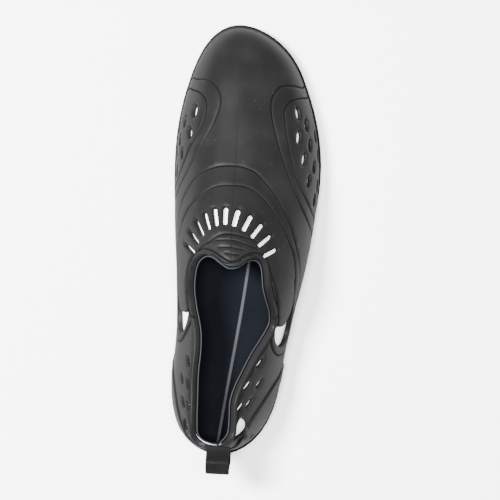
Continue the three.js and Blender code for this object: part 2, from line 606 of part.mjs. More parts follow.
function buildOutsole() {
  const margin = BALL_WIDTH / 4;
  const lines = [-BALL_WIDTH, BALL_WIDTH];
  const rows = range(SOLE_CELLS_ALONG + 3, (i) => -margin + i / (SOLE_CELLS_ALONG + 2) * (SHOE_LENGTH + 2 * margin));
  const layer = (outline, low, high) => gridPlate(lines, rows, low, high).intersect(prism(outline, low - 1, high + 1));
  const rimBase = HEEL_THICKNESS - RIM_HEIGHT;
  const inside = prism(soleOutline(TREAD_BORDER, PLAIN_STATIONS), -1, TREAD_DEPTH);
  const heelGrooves = Math.floor(0.25 * SHOE_LENGTH / TREAD_PITCH);
  const foreGrooves = Math.floor(0.42 * SHOE_LENGTH / TREAD_PITCH);
  const places = [
    ...range(heelGrooves, (i) => 0.05 * SHOE_LENGTH + (i + 0.5) * TREAD_PITCH),
    ...range(foreGrooves, (i) => 0.535 * SHOE_LENGTH + (i + 0.5) * TREAD_PITCH),
  ];
  let sole = layer(soleOutline(TREAD_INSET, PLAIN_STATIONS), 0, TREAD_DEPTH);
  sole = sole.add(layer(soleOutline(WELT_INSET, PLAIN_STATIONS), TREAD_DEPTH, rimBase));
  sole = sole.add(layer(soleOutline(0, ribbedStations()), rimBase, HEEL_THICKNESS));
  for (const y of places) sole = sole.subtract(prism(treadGroove(y), -1, TREAD_DEPTH).intersect(inside));
  const place = ([x, y, z]) => {
    const body = (soleThickness(y) - TREAD_DEPTH) / (HEEL_THICKNESS - TREAD_DEPTH);
    const height = z <= TREAD_DEPTH ? z : TREAD_DEPTH + (z - TREAD_DEPTH) * body;
    return new THREE.Vector3(x, y, soleBottom(y) + height);
  };
  return shaped(sole, place, () => false);
}

// The share of the way up a side at which the form is a height above its lower edge
function riseAt(station, height) {
  let low = 0;
  let high = 1;
  for (let i = 0; i < 30; i += 1) {
    const middle = (low + high) / 2;
    if (curves.height(station) * quartic([0, FOOT_RISE, SHOULDER_RISE, 1, 1], middle) < height) low = middle;
    else high = middle;
  }
  return low;
}

// The insole fills the foot of the shell: its edge is the wall's inner face at the insole's top
function buildInsole() {
  const steps = 26;
  const last = 0.95;
  const inset = WALL + GAP;
  const point = (station, side) => {
    const rise = riseAt(Math.abs(station), INSOLE_THICKNESS + GAP);
    const lowest = form(station, side > 0 ? 0 : 2);
    const topmost = form(station, side > 0 ? rise : 2 - rise);
    const x = side > 0 ? Math.min(lowest.x, topmost.x) : Math.max(lowest.x, topmost.x);
    return new THREE.Vector2(x, Math.max(lowest.y, topmost.y));
  };
  const positions = [];
  const edge = (station, side) => {
    const before = station < NUDGE ? point(NUDGE, -side) : point(station - NUDGE, side);
    const run = point(station + NUDGE, side).sub(before).normalize();
    const place = point(station, side);
    return [place.x - side * run.y * inset, place.y + side * run.x * inset];
  };
  for (const lift of [GAP, GAP + INSOLE_THICKNESS]) {
    for (let i = 0; i <= steps; i += 1) {
      for (const side of [1, -1]) {
        const [x, y] = edge(last * i / steps, side);
        positions.push(i ? x : 0, y, soleTop(y) + lift);
      }
    }
  }
  const at = (i, side, level) => 2 * ((steps + 1) * level + i) + side;
  const triangles = [];
  const quad = (a, b, c, d) => triangles.push(a, b, c, a, c, d);
  for (let i = 0; i < steps; i += 1) {
    quad(at(i, 0, 1), at(i + 1, 0, 1), at(i + 1, 1, 1), at(i, 1, 1));
    quad(at(i, 0, 0), at(i, 1, 0), at(i + 1, 1, 0), at(i + 1, 0, 0));
    quad(at(i, 0, 0), at(i + 1, 0, 0), at(i + 1, 0, 1), at(i, 0, 1));
    quad(at(i, 1, 1), at(i + 1, 1, 1), at(i + 1, 1, 0), at(i, 1, 0));
  }
  quad(at(steps, 0, 0), at(steps, 1, 0), at(steps, 1, 1), at(steps, 0, 1));
  return closedGeometry(positions, triangles);
}

// Merges points that meet and drops the triangles that they close up
function closedGeometry(positions, triangles) {
  const merged = mergeVertices(geometryFrom(positions, triangles).deleteAttribute('normal'), WELD);
  const index = merged.index.array;
  const kept = [];
  for (let i = 0; i < index.length; i += 3) {
    const [a, b, c] = index.slice(i, i + 3);
    if (a !== b && b !== c && c !== a) kept.push(a, b, c);
  }
  return geometryFrom([...merged.attributes.position.array], kept);
}

// The heel's back at a height, a distance to one side of its middle, just clear of the wall
function heelPoint(sideways, height) {
  const rise = riseAt(0, height - shellBase(RIM_AT_HEEL));
  const around = sideways >= 0 ? rise : 2 - rise;
  const middle = form(0, rise).x;
  let low = 0;
  let high = 0.2;
  for (let i = 0; i < 30; i += 1) {
    const station = (low + high) / 2;
    if (Math.abs(form(station, around).x - middle) < Math.abs(sideways)) low = station;
    else high = station;
  }
  return onForm(low, around, Math.max(BAND_STEP, COLLAR_STEP) + GAP);
}

// A strap that leaves the heel under the collar, folds back and ends lower down on the heel
function buildPullLoop() {
  const columns = 5;
  const steps = 14;
  const cornerShare = 0.16;
  const positions = [];
  for (let i = 0; i <= columns; i += 1) {
    const sideways = (i / columns - 0.5) * LOOP_WIDTH;
    const top = heelPoint(sideways, LOOP_TOP_HEIGHT - LOOP_STRAP / 2);
    const foot = heelPoint(sideways, LOOP_FOOT_HEIGHT + LOOP_STRAP / 2);
    const middle = heelPoint(0, LOOP_TOP_HEIGHT - LOOP_STRAP / 2);
    const rounded = Math.max(0, Math.abs(i / columns - 0.5) * 2 - (1 - 2 * cornerShare)) / (2 * cornerShare);
    const back = middle.y - LOOP_REACH + 1.6 * rounded ** 2;
    const drop = (top.z - foot.z) / 2;
    const path = new THREE.CatmullRomCurve3([
      top,
      new THREE.Vector3(top.x, (top.y * 2 + back) / 3, top.z - 0.02 * drop),
      new THREE.Vector3(top.x, top.y * 0.25 + back * 0.75, top.z - 0.10 * drop),
      new THREE.Vector3(top.x, back + 0.6, top.z - 0.35 * drop),
      new THREE.Vector3(top.x, back + 0.4, top.z - 0.62 * drop),
      new THREE.Vector3(top.x, back + 3.0, top.z - 0.92 * drop),
      new THREE.Vector3(foot.x, (foot.y + back) / 2, foot.z + 0.55 * drop),
      foot,
    ], false, 'centripetal');
    for (let k = 0; k <= steps; k += 1) {
      const point = path.getPoint(k / steps);
      const run = path.getTangent(k / steps);
      const out = new THREE.Vector3(0, run.z, -run.y).normalize().multiplyScalar(LOOP_STRAP / 2);
      for (const face of [1, -1]) positions.push(point.x, point.y + face * out.y, point.z + face * out.z);
    }
  }
  const at = (i, k, face) => 2 * ((steps + 1) * i + k) + face;
  const triangles = [];
  const quad = (a, b, c, d) => triangles.push(a, b, c, a, c, d);
  for (let k = 0; k < steps; k += 1) {
    for (let i = 0; i < columns; i += 1) {
      quad(at(i, k, 0), at(i, k + 1, 0), at(i + 1, k + 1, 0), at(i + 1, k, 0));
      quad(at(i, k, 1), at(i + 1, k, 1), at(i + 1, k + 1, 1), at(i, k + 1, 1));
    }
    quad(at(0, k, 0), at(0, k, 1), at(0, k + 1, 1), at(0, k + 1, 0));
    quad(at(columns, k, 0), at(columns, k + 1, 0), at(columns, k + 1, 1), at(columns, k, 1));
  }
  for (let i = 0; i < columns; i += 1) {
    quad(at(i, 0, 0), at(i + 1, 0, 0), at(i + 1, 0, 1), at(i, 0, 1));
    quad(at(i, steps, 0), at(i, steps, 1), at(i + 1, steps, 1), at(i + 1, steps, 0));
  }
  return closedGeometry(positions, triangles);
}

function piece(name, geometry) {
  const mesh = new THREE.Mesh(geometry, new THREE.MeshStandardMaterial({ ...FINISHES[name], metalness: 0 }));
  mesh.name = name;
  return mesh;
}

const shoe = new THREE.Group();
shoe.add(piece('upper', buildUpper()));
shoe.add(piece('outsole', buildOutsole()));
shoe.add(piece('insole', buildInsole()));
shoe.add(piece('pull_loop', buildPullLoop()));

// The origin is on the floor, under the middle of the shoe's box
const box = new THREE.Box3().setFromObject(shoe);
const centre = box.getCenter(new THREE.Vector3());
shoe.position.set(-centre.x, -centre.y, -box.min.z);

export default shoe;
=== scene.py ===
"""Looks of the water shoe: the moulded shell, the knitted sock inside it, the sole, the insole and the
pull loop, on a pale floor under soft studio light, seen from above as in the photograph.

The shell and the sock are drawn on the last: station runs from 0 at the heel to 1 at the toe and
crowds towards both ends, around runs from 0 at the sole's outer edge over 1 on the ridge to 2 at the
sole's inner edge. Lengths are in millimetres from the heel until a mesh is made, then in metres.
"""
import math

import bmesh
import bpy
import numpy as np
from mathutils import Matrix, Vector
from mathutils.geometry import delaunay_2d_cdt


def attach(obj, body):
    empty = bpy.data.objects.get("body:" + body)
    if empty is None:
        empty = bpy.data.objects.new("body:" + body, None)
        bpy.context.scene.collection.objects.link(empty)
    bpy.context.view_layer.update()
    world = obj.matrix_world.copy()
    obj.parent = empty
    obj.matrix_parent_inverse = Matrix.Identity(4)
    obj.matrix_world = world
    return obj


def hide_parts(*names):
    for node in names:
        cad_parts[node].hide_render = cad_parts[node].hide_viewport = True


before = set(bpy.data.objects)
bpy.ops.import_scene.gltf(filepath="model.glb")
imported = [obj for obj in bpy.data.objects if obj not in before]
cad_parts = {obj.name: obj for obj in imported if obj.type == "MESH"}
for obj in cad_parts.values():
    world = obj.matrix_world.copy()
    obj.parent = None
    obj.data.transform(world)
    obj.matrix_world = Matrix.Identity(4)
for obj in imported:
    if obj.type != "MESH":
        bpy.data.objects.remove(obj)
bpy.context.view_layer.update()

MM = 0.001
ORIGIN = np.array([9.6633, 136.0729, 0.0])

# Sizes as in the part. The heel's inner lean, the border and panel steps and the sunk panels differ
# a little from it, for the drawn shell alone
SHOE_LENGTH = 282.0
BALL_WIDTH = 96.0
INSTEP_HEIGHT = 78.0
HEEL_LEAN = 6.0
HEEL_LEAN_REACH = (18.0, 6.0)
GAP = 0.3
HEEL_THICKNESS = 9.0
FOREPART_THICKNESS = 5.5
TOE_SPRING = 10.0
ARCH_RISE = 2.5
HEEL_BEVEL = 1.5
RIM_AT_HEEL = 2.6
RIM_AT_TOE = 2.0
RIM_AT_SIDE = 1.6
WALL = 2.4
BORDER_STEP = 0.6
PANEL_STEP = 1.2
COLLAR_STEP = 1.5
COLLAR_BEAD = 2.4
SIDE_RECESS = 0.9
INNER_SIDE_RECESS = 1.0
MESH_RECESS = 1.5
BAND_STEP = 0.8
HOLE_SIZE = (9.0, 3.4)
QUARTER_HOLE_SIZE = (8.4, 2.8)
SLOT_SIZE = (13.0, 3.0)
SLOT_COUNT = 11
FAN_CENTRE = (0.438, 1.065)
FAN_RADII = (0.095, 0.47)
FAN_SPREAD = 62
INSOLE_THICKNESS = 3.0

# Sections of the last: share of the length; half width inside and outside, swell inside and outside
# and ridge as shares of the ball width; shoulder and crown inside and outside as shares of the way
# from ridge to edge; top as a share of the instep height
SECTIONS = np.array([
    [0.000, 0.000, 0.000, 0.000, 0.000, -0.042, 0.78, 0.78, 0.54, 0.54, 0.859],
    [0.030, 0.215, 0.218, 0.026, 0.026, -0.048, 0.94, 0.66, 0.84, 0.33, 0.862],
    [0.090, 0.315, 0.338, 0.036, 0.042, -0.056, 0.93, 0.61, 0.76, 0.27, 0.867],
    [0.180, 0.342, 0.400, 0.047, 0.057, -0.047, 0.84, 0.62, 0.54, 0.26, 0.869],
    [0.300, 0.323, 0.430, 0.073, 0.104, -0.010, 0.84, 0.70, 0.40, 0.30, 0.878],
    [0.420, 0.321, 0.494, 0.130, 0.130, -0.005, 0.90, 0.74, 0.42, 0.32, 0.994],
    [0.540, 0.373, 0.567, 0.083, 0.094, -0.016, 0.86, 0.72, 0.46, 0.36, 0.872],
    [0.650, 0.401, 0.603, 0.036, 0.042, 0.005, 0.84, 0.75, 0.48, 0.42, 0.699],
    [0.760, 0.393, 0.573, 0.021, 0.021, 0.016, 0.82, 0.78, 0.46, 0.44, 0.590],
    [0.860, 0.338, 0.482, 0.010, 0.010, 0.016, 0.80, 0.78, 0.44, 0.42, 0.519],
    [0.935, 0.259, 0.362, 0.004, 0.004, 0.008, 0.78, 0.78, 0.42, 0.42, 0.442],
    [0.980, 0.158, 0.202, 0.000, 0.000, 0.002, 0.776, 0.776, 0.414, 0.414, 0.340],
    [1.000, 0.000, 0.000, 0.000, 0.000, 0.000, 0.776, 0.776, 0.414, 0.414, 0.000],
])
FOOT_RISE = 0.414
SHOULDER_RISE = 0.79

# Outlines on the last, as rows of (station, around)
OPENING = [
    (0.000, 0.828), (0.050, 0.812), (0.088, 0.785), (0.112, 0.725), (0.140, 0.700), (0.180, 0.722),
    (0.210, 0.743), (0.233, 0.752), (0.267, 0.716), (0.285, 0.682), (0.323, 0.610), (0.347, 0.545),
    (0.362, 0.506), (0.375, 0.486), (0.390, 0.509), (0.404, 0.554), (0.418, 0.603), (0.432, 0.638),
    (0.446, 0.659), (0.457, 0.673), (0.466, 0.695), (0.472, 0.728), (0.474, 0.785), (0.471, 0.840),
    (0.466, 0.884), (0.462, 0.927), (0.460, 0.986), (0.461, 1.053), (0.466, 1.126), (0.470, 1.173),
    (0.474, 1.224), (0.476, 1.306), (0.471, 1.383), (0.463, 1.438), (0.451, 1.477), (0.423, 1.507),
    (0.395, 1.477), (0.381, 1.445), (0.354, 1.383), (0.324, 1.348), (0.294, 1.327), (0.267, 1.294),
    (0.239, 1.262), (0.206, 1.244), (0.175, 1.250), (0.145, 1.290), (0.118, 1.318), (0.090, 1.318),
    (0.060, 1.262), (0.030, 1.205), (0.000, 1.172),
]
TAB_PAD = [
    (0.505, 1.020), (0.501, 0.880), (0.494, 0.775), (0.478, 0.700), (0.450, 0.628), (0.420, 0.548),
    (0.392, 0.490), (0.380, 0.560), (0.400, 0.800), (0.400, 1.200), (0.380, 1.400), (0.390, 1.480),
    (0.422, 1.510), (0.452, 1.488), (0.478, 1.370), (0.492, 1.234), (0.502, 1.120),
]
PANEL = [
    (0.577, 1.040), (0.576, 0.922), (0.565, 0.810), (0.546, 0.701), (0.524, 0.605), (0.501, 0.517),
    (0.477, 0.441), (0.450, 0.385), (0.425, 0.340), (0.405, 0.318), (0.388, 0.330), (0.375, 0.365),
    (0.372, 0.405), (0.378, 0.445), (0.395, 0.500), (0.420, 0.580), (0.420, 1.000), (0.420, 1.420),
    (0.398, 1.500), (0.390, 1.545), (0.388, 1.600), (0.392, 1.655), (0.410, 1.690), (0.440, 1.680),
    (0.470, 1.668), (0.503, 1.619), (0.527, 1.543), (0.545, 1.447), (0.561, 1.323), (0.573, 1.194),
]
BORDER = [
    (0.608, 1.020), (0.606, 0.950), (0.600, 0.870), (0.584, 0.774), (0.565, 0.673), (0.538, 0.569),
    (0.514, 0.485), (0.485, 0.401), (0.463, 0.337), (0.435, 0.275), (0.400, 0.212), (0.362, 0.170),
    (0.335, 0.205), (0.325, 0.300), (0.331, 0.390), (0.348, 0.460), (0.372, 0.520), (0.400, 0.800),
    (0.400, 1.200), (0.385, 1.450), (0.366, 1.520), (0.350, 1.590), (0.341, 1.650), (0.346, 1.730),
    (0.372, 1.790), (0.420, 1.780), (0.470, 1.735), (0.521, 1.680), (0.544, 1.623), (0.568, 1.519),
    (0.591, 1.379), (0.604, 1.210),
]
OUTER_CRESCENT = [
    (0.446, 0.388), (0.424, 0.332), (0.400, 0.278), (0.378, 0.236), (0.359, 0.226), (0.345, 0.255),
    (0.338, 0.315), (0.341, 0.375), (0.352, 0.425), (0.370, 0.448), (0.371, 0.405), (0.374, 0.365),
    (0.387, 0.329), (0.405, 0.316), (0.424, 0.340),
]
INNER_CRESCENT = [
    (0.462, 1.662), (0.440, 1.694), (0.414, 1.726), (0.390, 1.738), (0.370, 1.722), (0.357, 1.684),
    (0.353, 1.640), (0.357, 1.600), (0.367, 1.565), (0.379, 1.538), (0.394, 1.522), (0.389, 1.550),
    (0.387, 1.600), (0.391, 1.657), (0.410, 1.692), (0.438, 1.683),
]
OUTER_SIDE = [
    (0.757, -0.060), (0.763, 0.253), (0.764, 0.437), (0.760, 0.597), (0.746, 0.689), (0.727, 0.741),
    (0.702, 0.754), (0.674, 0.737), (0.646, 0.701), (0.604, 0.609), (0.561, 0.465), (0.516, 0.220),
    (0.490, -0.060),
]
OUTER_MESH = [
    (0.733, -0.060), (0.741, 0.257), (0.736, 0.437), (0.726, 0.557), (0.710, 0.617), (0.686, 0.633),
    (0.655, 0.616), (0.601, 0.530), (0.567, 0.393), (0.536, 0.196), (0.515, -0.060),
]
INNER_SIDE = [
    (0.758, 2.060), (0.768, 1.639), (0.765, 1.439), (0.751, 1.303), (0.731, 1.222), (0.713, 1.206),
    (0.693, 1.230), (0.674, 1.267), (0.644, 1.359), (0.602, 1.523), (0.571, 1.691), (0.550, 1.850),
    (0.532, 2.060),
]
INNER_MESH = [
    (0.736, 2.060), (0.743, 1.635), (0.735, 1.491), (0.722, 1.402), (0.707, 1.372), (0.690, 1.375),
    (0.666, 1.423), (0.634, 1.535), (0.604, 1.647), (0.582, 1.750), (0.566, 1.880), (0.552, 2.060),
]
HEEL_BAND = [
    (0.312, -0.060), (0.300, 0.116), (0.269, 0.265), (0.237, 0.361), (0.210, 0.425), (0.175, 0.480),
    (0.130, 0.492), (0.070, 0.488), (0.000, 0.485), (-0.070, 0.488), (-0.130, 0.492), (-0.130, 0.300),
    (-0.069, 0.293), (0.000, 0.290), (0.069, 0.293), (0.130, 0.300), (0.189, 0.262), (0.224, 0.202),
    (0.261, 0.150), (0.284, 0.080), (0.292, -0.060),
]
OUTER_LEAF = [
    (0.190, 0.622), (0.185, 0.560), (0.174, 0.508), (0.156, 0.484), (0.138, 0.515), (0.122, 0.575),
    (0.108, 0.632), (0.118, 0.648), (0.150, 0.652), (0.176, 0.645),
]
INNER_LEAF = [
    (0.188, 1.402), (0.176, 1.382), (0.148, 1.382), (0.120, 1.396), (0.102, 1.424), (0.118, 1.474),
    (0.150, 1.498), (0.176, 1.464),
]
# Drain holes, with the turn of each in degrees
HOLES = [
    (0.707, 0.449, 6), (0.687, 0.349, 6), (0.664, 0.481, 14), (0.669, 0.184, 0), (0.652, 0.330, 8),
    (0.637, 0.152, 0), (0.628, 0.425, 12), (0.617, 0.275, 8), (0.594, 0.352, 12), (0.588, 0.180, 6),
    (0.566, 0.235, 10), (0.701, 1.553, -6), (0.683, 1.719, -6), (0.662, 1.575, -14), (0.651, 1.780, -8),
    (0.628, 1.685, -12), (0.672, 1.885, 0), (0.628, 1.862, -6), (0.600, 1.790, -10),
]
QUARTER_HOLES = [
    (0.309, 0.528, 40), (0.271, 0.484, 40), (0.267, 0.617, 40), (0.228, 0.560, 40), (0.219, 0.655, 40),
    (0.307, 1.448, -35), (0.274, 1.517, -35), (0.265, 1.380, -35), (0.226, 1.440, -35),
    (0.218, 1.340, -35),
]
# Fine lines on the shell, open at both ends: the grips of the tab, its lip, and the mould's parting line
GRIPS = [
    [(0.502, 1.119), (0.504, 1.057), (0.505, 0.995), (0.503, 0.905)],
    [(0.491, 1.239), (0.495, 1.173), (0.497, 1.083), (0.497, 0.983), (0.494, 0.903), (0.488, 0.803)],
    [(0.486, 1.123), (0.487, 1.017), (0.486, 0.957), (0.484, 0.889)],
    [(0.479, 1.059), (0.478, 1.019), (0.477, 0.957)],
]
LIP = [
    (0.476, 1.213), (0.474, 1.175), (0.468, 1.113), (0.465, 1.063), (0.465, 1.007), (0.466, 0.955),
    (0.468, 0.917), (0.475, 0.869), (0.477, 0.837), (0.477, 0.807), (0.475, 0.771),
]
PARTING = [(0.470, 0.992), (0.503, 0.993), (0.552, 1.003), (0.601, 1.010), (0.700, 1.015), (0.800, 1.012)]

# How fine the drawn meshes are, and the creases and fine lines on them
CELL = 2.2
RAMP = 0.8
CREASE_DEPTH = 0.6
CREASE_WIDTH = 0.42
CREASE_FOOT = 0.75
SOFT_RAMP = 1.5
SOFT_CREASE = 0.7
DEEPEST = 1.95
FOOT_FLARE = 0.7
FOOT_FLARE_HEIGHT = 1.6
GRIP_DEPTH = 0.5
GRIP_WIDTH = 0.28
PARTING_DEPTH = 0.09
PARTING_WIDTH = 0.28
PARTING_FADE = 0.2
STEP_RINGS = (-0.9, -0.4, 0.4, 0.75, 1.1, 1.6)
LINE_STEP = 1.1
NUDGE = 1e-4
EDGE_ROUND = 0.45
RIM_RINGS = (0.16, 0.45)
GRIP_RINGS = (-0.55, -0.26, 0, 0.26, 0.55)
PARTING_RINGS = (-0.35, 0, 0.35)
LEAF_CLEAR = 0.8
LEAF_FADE = 2.2
HEEL_STEP = 0.011
FIXED_CLEAR = 0.3
LOOSE_APART = 0.22
ROOM = 0.55
CLEAR_OF_EDGES = ((0.004, 0.004), (0.995, 1.996))


# The last

def spline(places, values):
    """Natural cubic spline through the values at the places."""
    count = len(places)
    spans = np.diff(places)
    matrix = np.eye(count)
    right = np.zeros(count)
    for i in range(1, count - 1):
        matrix[i, i - 1:i + 2] = spans[i - 1], 2 * (spans[i - 1] + spans[i]), spans[i]
        right[i] = 6 * ((values[i + 1] - values[i]) / spans[i] - (values[i] - values[i - 1]) / spans[i - 1])
    bends = np.linalg.solve(matrix, right)

    def at(place):
        i = np.clip(np.searchsorted(places, place) - 1, 0, count - 2)
        a = (places[i + 1] - place) / spans[i]
        b = (place - places[i]) / spans[i]
        curve = ((a ** 3 - a) * bends[i] + (b ** 3 - b) * bends[i + 1]) * spans[i] ** 2 / 6
        return a * values[i] + b * values[i + 1] + curve

    return at


def lengths_along(points, power=1):
    """The length run so far at each point of a path, or the sum of a power of its spans."""
    spans = np.linalg.norm(np.diff(points, axis=0), axis=1)
    return np.concatenate([[0], np.cumsum(spans ** power)])


def sole_bottom(y):
    share = np.asarray(y) / SHOE_LENGTH
    toe = np.clip((share - 0.74) / 0.26, 0, 1)
    waist = np.clip((share - 0.27) / 0.28, 0, 1)
    heel = np.clip((0.05 - share) / 0.05, 0, 1)
    return TOE_SPRING * toe ** 2 + ARCH_RISE * np.sin(math.pi * waist) ** 2 + HEEL_BEVEL * heel ** 2


def sole_top(y):
    forward = np.clip((np.asarray(y) / SHOE_LENGTH - 0.25) / 0.33, 0, 1)
    forward = forward ** 2 * (3 - 2 * forward)
    return sole_bottom(y) + HEEL_THICKNESS + (FOREPART_THICKNESS - HEEL_THICKNESS) * forward


def column(values, heel_sign, toe_sign):
    """A column of the sections as a smooth function of station, repeated in mirror past both ends."""
    stations = np.arccos(1 - 2 * SECTIONS[:, 0]) / math.pi
    places = np.concatenate([[-stations[2], -stations[1]], stations, [2 - stations[-2], 2 - stations[-3]]])
    ends = [heel_sign * values[2], heel_sign * values[1]], [toe_sign * values[-2], toe_sign * values[-3]]
    return spline(places, np.concatenate([ends[0], values, ends[1]]))


heights = SECTIONS[:, 10] * INSTEP_HEIGHT - sole_top(SECTIONS[:, 0] * SHOE_LENGTH) - GAP
heights[-1] = 0
WIDTHS = [column(SECTIONS[:, i] * BALL_WIDTH, -1, -1) for i in (1, 2)]
SWELLS = [column(SECTIONS[:, i] * BALL_WIDTH, -1, -1) for i in (3, 4)]
RIDGE = column(SECTIONS[:, 5] * BALL_WIDTH, 1, 1)
SHOULDERS = [column(SECTIONS[:, i], 1, 1) for i in (6, 7)]
CROWNS = [column(SECTIONS[:, i], 1, 1) for i in (8, 9)]
HEIGHT = column(heights, 1, -1)


def quartic(values, share):
    rest = 1 - share
    weights = [math.comb(4, k) * rest ** (4 - k) * share ** k for k in range(5)]
    return sum(weight * value for weight, value in zip(weights, values))


def form(places):
    """The shell's outer face at rows of (station, around)."""
    station, around = np.asarray(places, float).T
    beyond = (station < 0) | (station > 1)
    station = np.where(station < 0, -station, np.where(station > 1, 2 - station, station))
    around = np.where(beyond, 2 - around, around)
    outer = around <= 1
    side = np.where(outer, 1.0, -1.0)
    rise = np.where(outer, around, 2 - around)
    share = (1 - np.cos(math.pi * station)) / 2
    y = RIM_AT_HEEL + (SHOE_LENGTH - RIM_AT_TOE - RIM_AT_HEEL) * share

    def inner_outer(curves):
        return np.where(outer, curves[1](station), curves[0](station))

    edge = inner_outer(WIDTHS) * (1 - RIM_AT_SIDE / (BALL_WIDTH / 2))
    ridge = RIDGE(station) * side
    shoulder = ridge + inner_outer(SHOULDERS) * (edge - ridge)
    crown = ridge + inner_outer(CROWNS) * (edge - ridge)
    out = quartic((edge, edge + inner_outer(SWELLS), shoulder, crown, ridge), rise)
    up = quartic((0, FOOT_RISE, SHOULDER_RISE, 1, 1), rise)
    reach = np.where(outer, *HEEL_LEAN_REACH)
    lean = HEEL_LEAN * np.maximum(up, 0) ** 1.5 * np.exp(-(y - RIM_AT_HEEL) / reach)
    return np.stack([out * side, y + lean, sole_top(y) + GAP + HEIGHT(station) * up], -1)


def frame_at(places):
    """The form's two directions and its outward normal."""
    places = np.asarray(places, float)
    along = (form(places + (NUDGE, 0)) - form(places - (NUDGE, 0))) / (2 * NUDGE)
    across = (form(places + (0, NUDGE)) - form(places - (0, NUDGE))) / (2 * NUDGE)
    normal = np.cross(along, across)
    return along, across, normal / (np.linalg.norm(normal, axis=1, keepdims=True) + 1e-12)


def on_form(places, proud):
    """Points that lie a distance proud of the form, with the lower edge kept on the sole."""
    places = np.asarray(places, float)
    proud = np.broadcast_to(proud, len(places))
    at_toe = places[:, 0] > 1 - NUDGE
    normal = np.where(at_toe[:, None], (0, 1, 0), frame_at(places)[2])
    points = form(places) + normal * proud[:, None]
    base = sole_top(points[:, 1]) + GAP
    at_edge = at_toe | (places[:, 1] < NUDGE) | (places[:, 1] > 2 - NUDGE)
    points[:, 2] = np.where(at_edge, base, np.maximum(points[:, 2], base + 0.1))
    return points


def dot(a, b):
    return np.einsum("ij,ij->i", a, b)


def stepped(places, steps):
    """The places that lie short steps away on the form."""
    along, across, _ = frame_at(places)
    skew, aa, bb = dot(along, across), dot(along, along), dot(across, across)
    a, b = dot(steps, along), dot(steps, across)
    return places + np.stack([a * bb - b * skew, b * aa - a * skew], -1) / (aa * bb - skew ** 2)[:, None]


# Lines on the last

def mirrored(rows):
    """The rows on the other side of the ridge."""
    return [(station, 2 - around) for station, around in rows]


def smooth_line(rows):
    """A closed centripetal curve through the rows, in steps of about a length on the form."""
    scale = np.array([SHOE_LENGTH, BALL_WIDTH])
    rows = np.asarray(rows, float) * scale
    line = []
    for i in range(len(rows)):
        p0, p1, p2, p3 = (rows[(i + k) % len(rows)] for k in (-1, 0, 1, 2))
        t0, t1, t2 = (max(np.linalg.norm(b - a), 1e-3) ** 0.5 for a, b in ((p0, p1), (p1, p2), (p2, p3)))
        m1 = (p1 - p0) / t0 - (p2 - p0) / (t0 + t1) + (p2 - p1) / t1
        m2 = (p2 - p1) / t1 - (p3 - p1) / (t1 + t2) + (p3 - p2) / t2
        m1, m2 = m1 * t1, m2 * t1
        length = np.linalg.norm(np.subtract(*form([p1 / scale, p2 / scale])))
        count = max(2, round(length / LINE_STEP))
        t = np.arange(count)[:, None] / count
        line.append((2 * t ** 3 - 3 * t ** 2 + 1) * p1 + (t ** 3 - 2 * t ** 2 + t) * m1
                    + (3 * t ** 2 - 2 * t ** 3) * p2 + (t ** 3 - t ** 2) * m2)
    line = np.concatenate(line) / scale
    x, y = line.T
    runs_left = np.sum(x * np.roll(y, -1) - np.roll(x, -1) * y) > 0
    return line if runs_left else line[::-1]


def open_line(rows, step=0.8):
    """A smooth open curve through the rows, in steps of about a length on the form."""
    rows = np.asarray(rows, float)
    curves = [spline(np.arange(len(rows)), rows[:, k]) for k in (0, 1)]
    fine = np.linspace(0, len(rows) - 1, 40 * len(rows))
    line = np.stack([curve(fine) for curve in curves], -1)
    length = lengths_along(form(line))
    at = np.linspace(0, length[-1], max(3, round(length[-1] / step)))
    return np.stack([np.interp(at, length, line[:, k]) for k in (0, 1)], -1)


def beside(line, distance):
    """An open line moved square to itself on the form."""
    out = np.cross(np.gradient(form(line), axis=0), frame_at(line)[2])
    return stepped(line, out * distance / np.linalg.norm(out, axis=1, keepdims=True))


def groove(points, line, width):
    """1 on an open line, falling to 0 a little way from it."""
    return np.exp(-(nearest(points, form(line)) / width) ** 2)


def round_the_heel(rows, repeats=3):
    """The rows, with a few at each end repeated past the heel's middle."""
    past = [(-row[0], 2 - row[1]) for row in rows]
    return past[-1 - repeats:-1] + list(rows) + past[1:1 + repeats]


def offset(line, distance, keep=0.93):
    """The line moved square to itself on the form, outwards for a positive distance; places that a
    sharp bend would fold over are left out."""
    points = form(line)
    run = np.roll(points, -1, 0) - np.roll(points, 1, 0)
    out = np.cross(run, frame_at(line)[2])
    out *= distance / 4 / np.linalg.norm(out, axis=1, keepdims=True)
    moved = np.array(line)
    for _ in range(4):
        moved = stepped(moved, out)
    apart = nearest(form(moved), points)
    return moved[apart > keep * abs(distance)]


def nearest(points, others):
    """Distance from each point to the nearest of the others."""
    result = np.empty(len(points))
    for start in range(0, len(points), 2000):
        part = points[start:start + 2000]
        square = (part ** 2).sum(1)[:, None] + (others ** 2).sum(1) - 2 * part @ others.T
        result[start:start + 2000] = np.sqrt(np.maximum(square.min(1), 0))
    return result


def inside(places, line):
    """Which places lie within a closed line, by the even-odd rule."""
    x, y = np.asarray(places, float).T
    result = np.zeros(len(x), bool)
    for (x0, y0), (x1, y1) in zip(line, np.roll(line, -1, 0)):
        if y0 == y1:
            continue
        crosses = (y0 > y) != (y1 > y)
        result ^= crosses & (x < (x1 - x0) * (y - y0) / (y1 - y0) + x0)
    return result


def depth_within(places, points, line):
    """Distance from a closed line, positive within it, measured on the form."""
    apart = nearest(points, form(line))
    return np.where(inside(places, line), apart, -apart)


def smooth(value):
    value = np.clip(value, 0, 1)
    return value * value * (3 - 2 * value)


def near(place, lengthwise, crosswise):
    along, across, _ = frame_at([place])
    station = place[0] + lengthwise / np.linalg.norm(along)
    around = place[1] + crosswise / np.linalg.norm(across)
    return np.stack([station, around], -1)


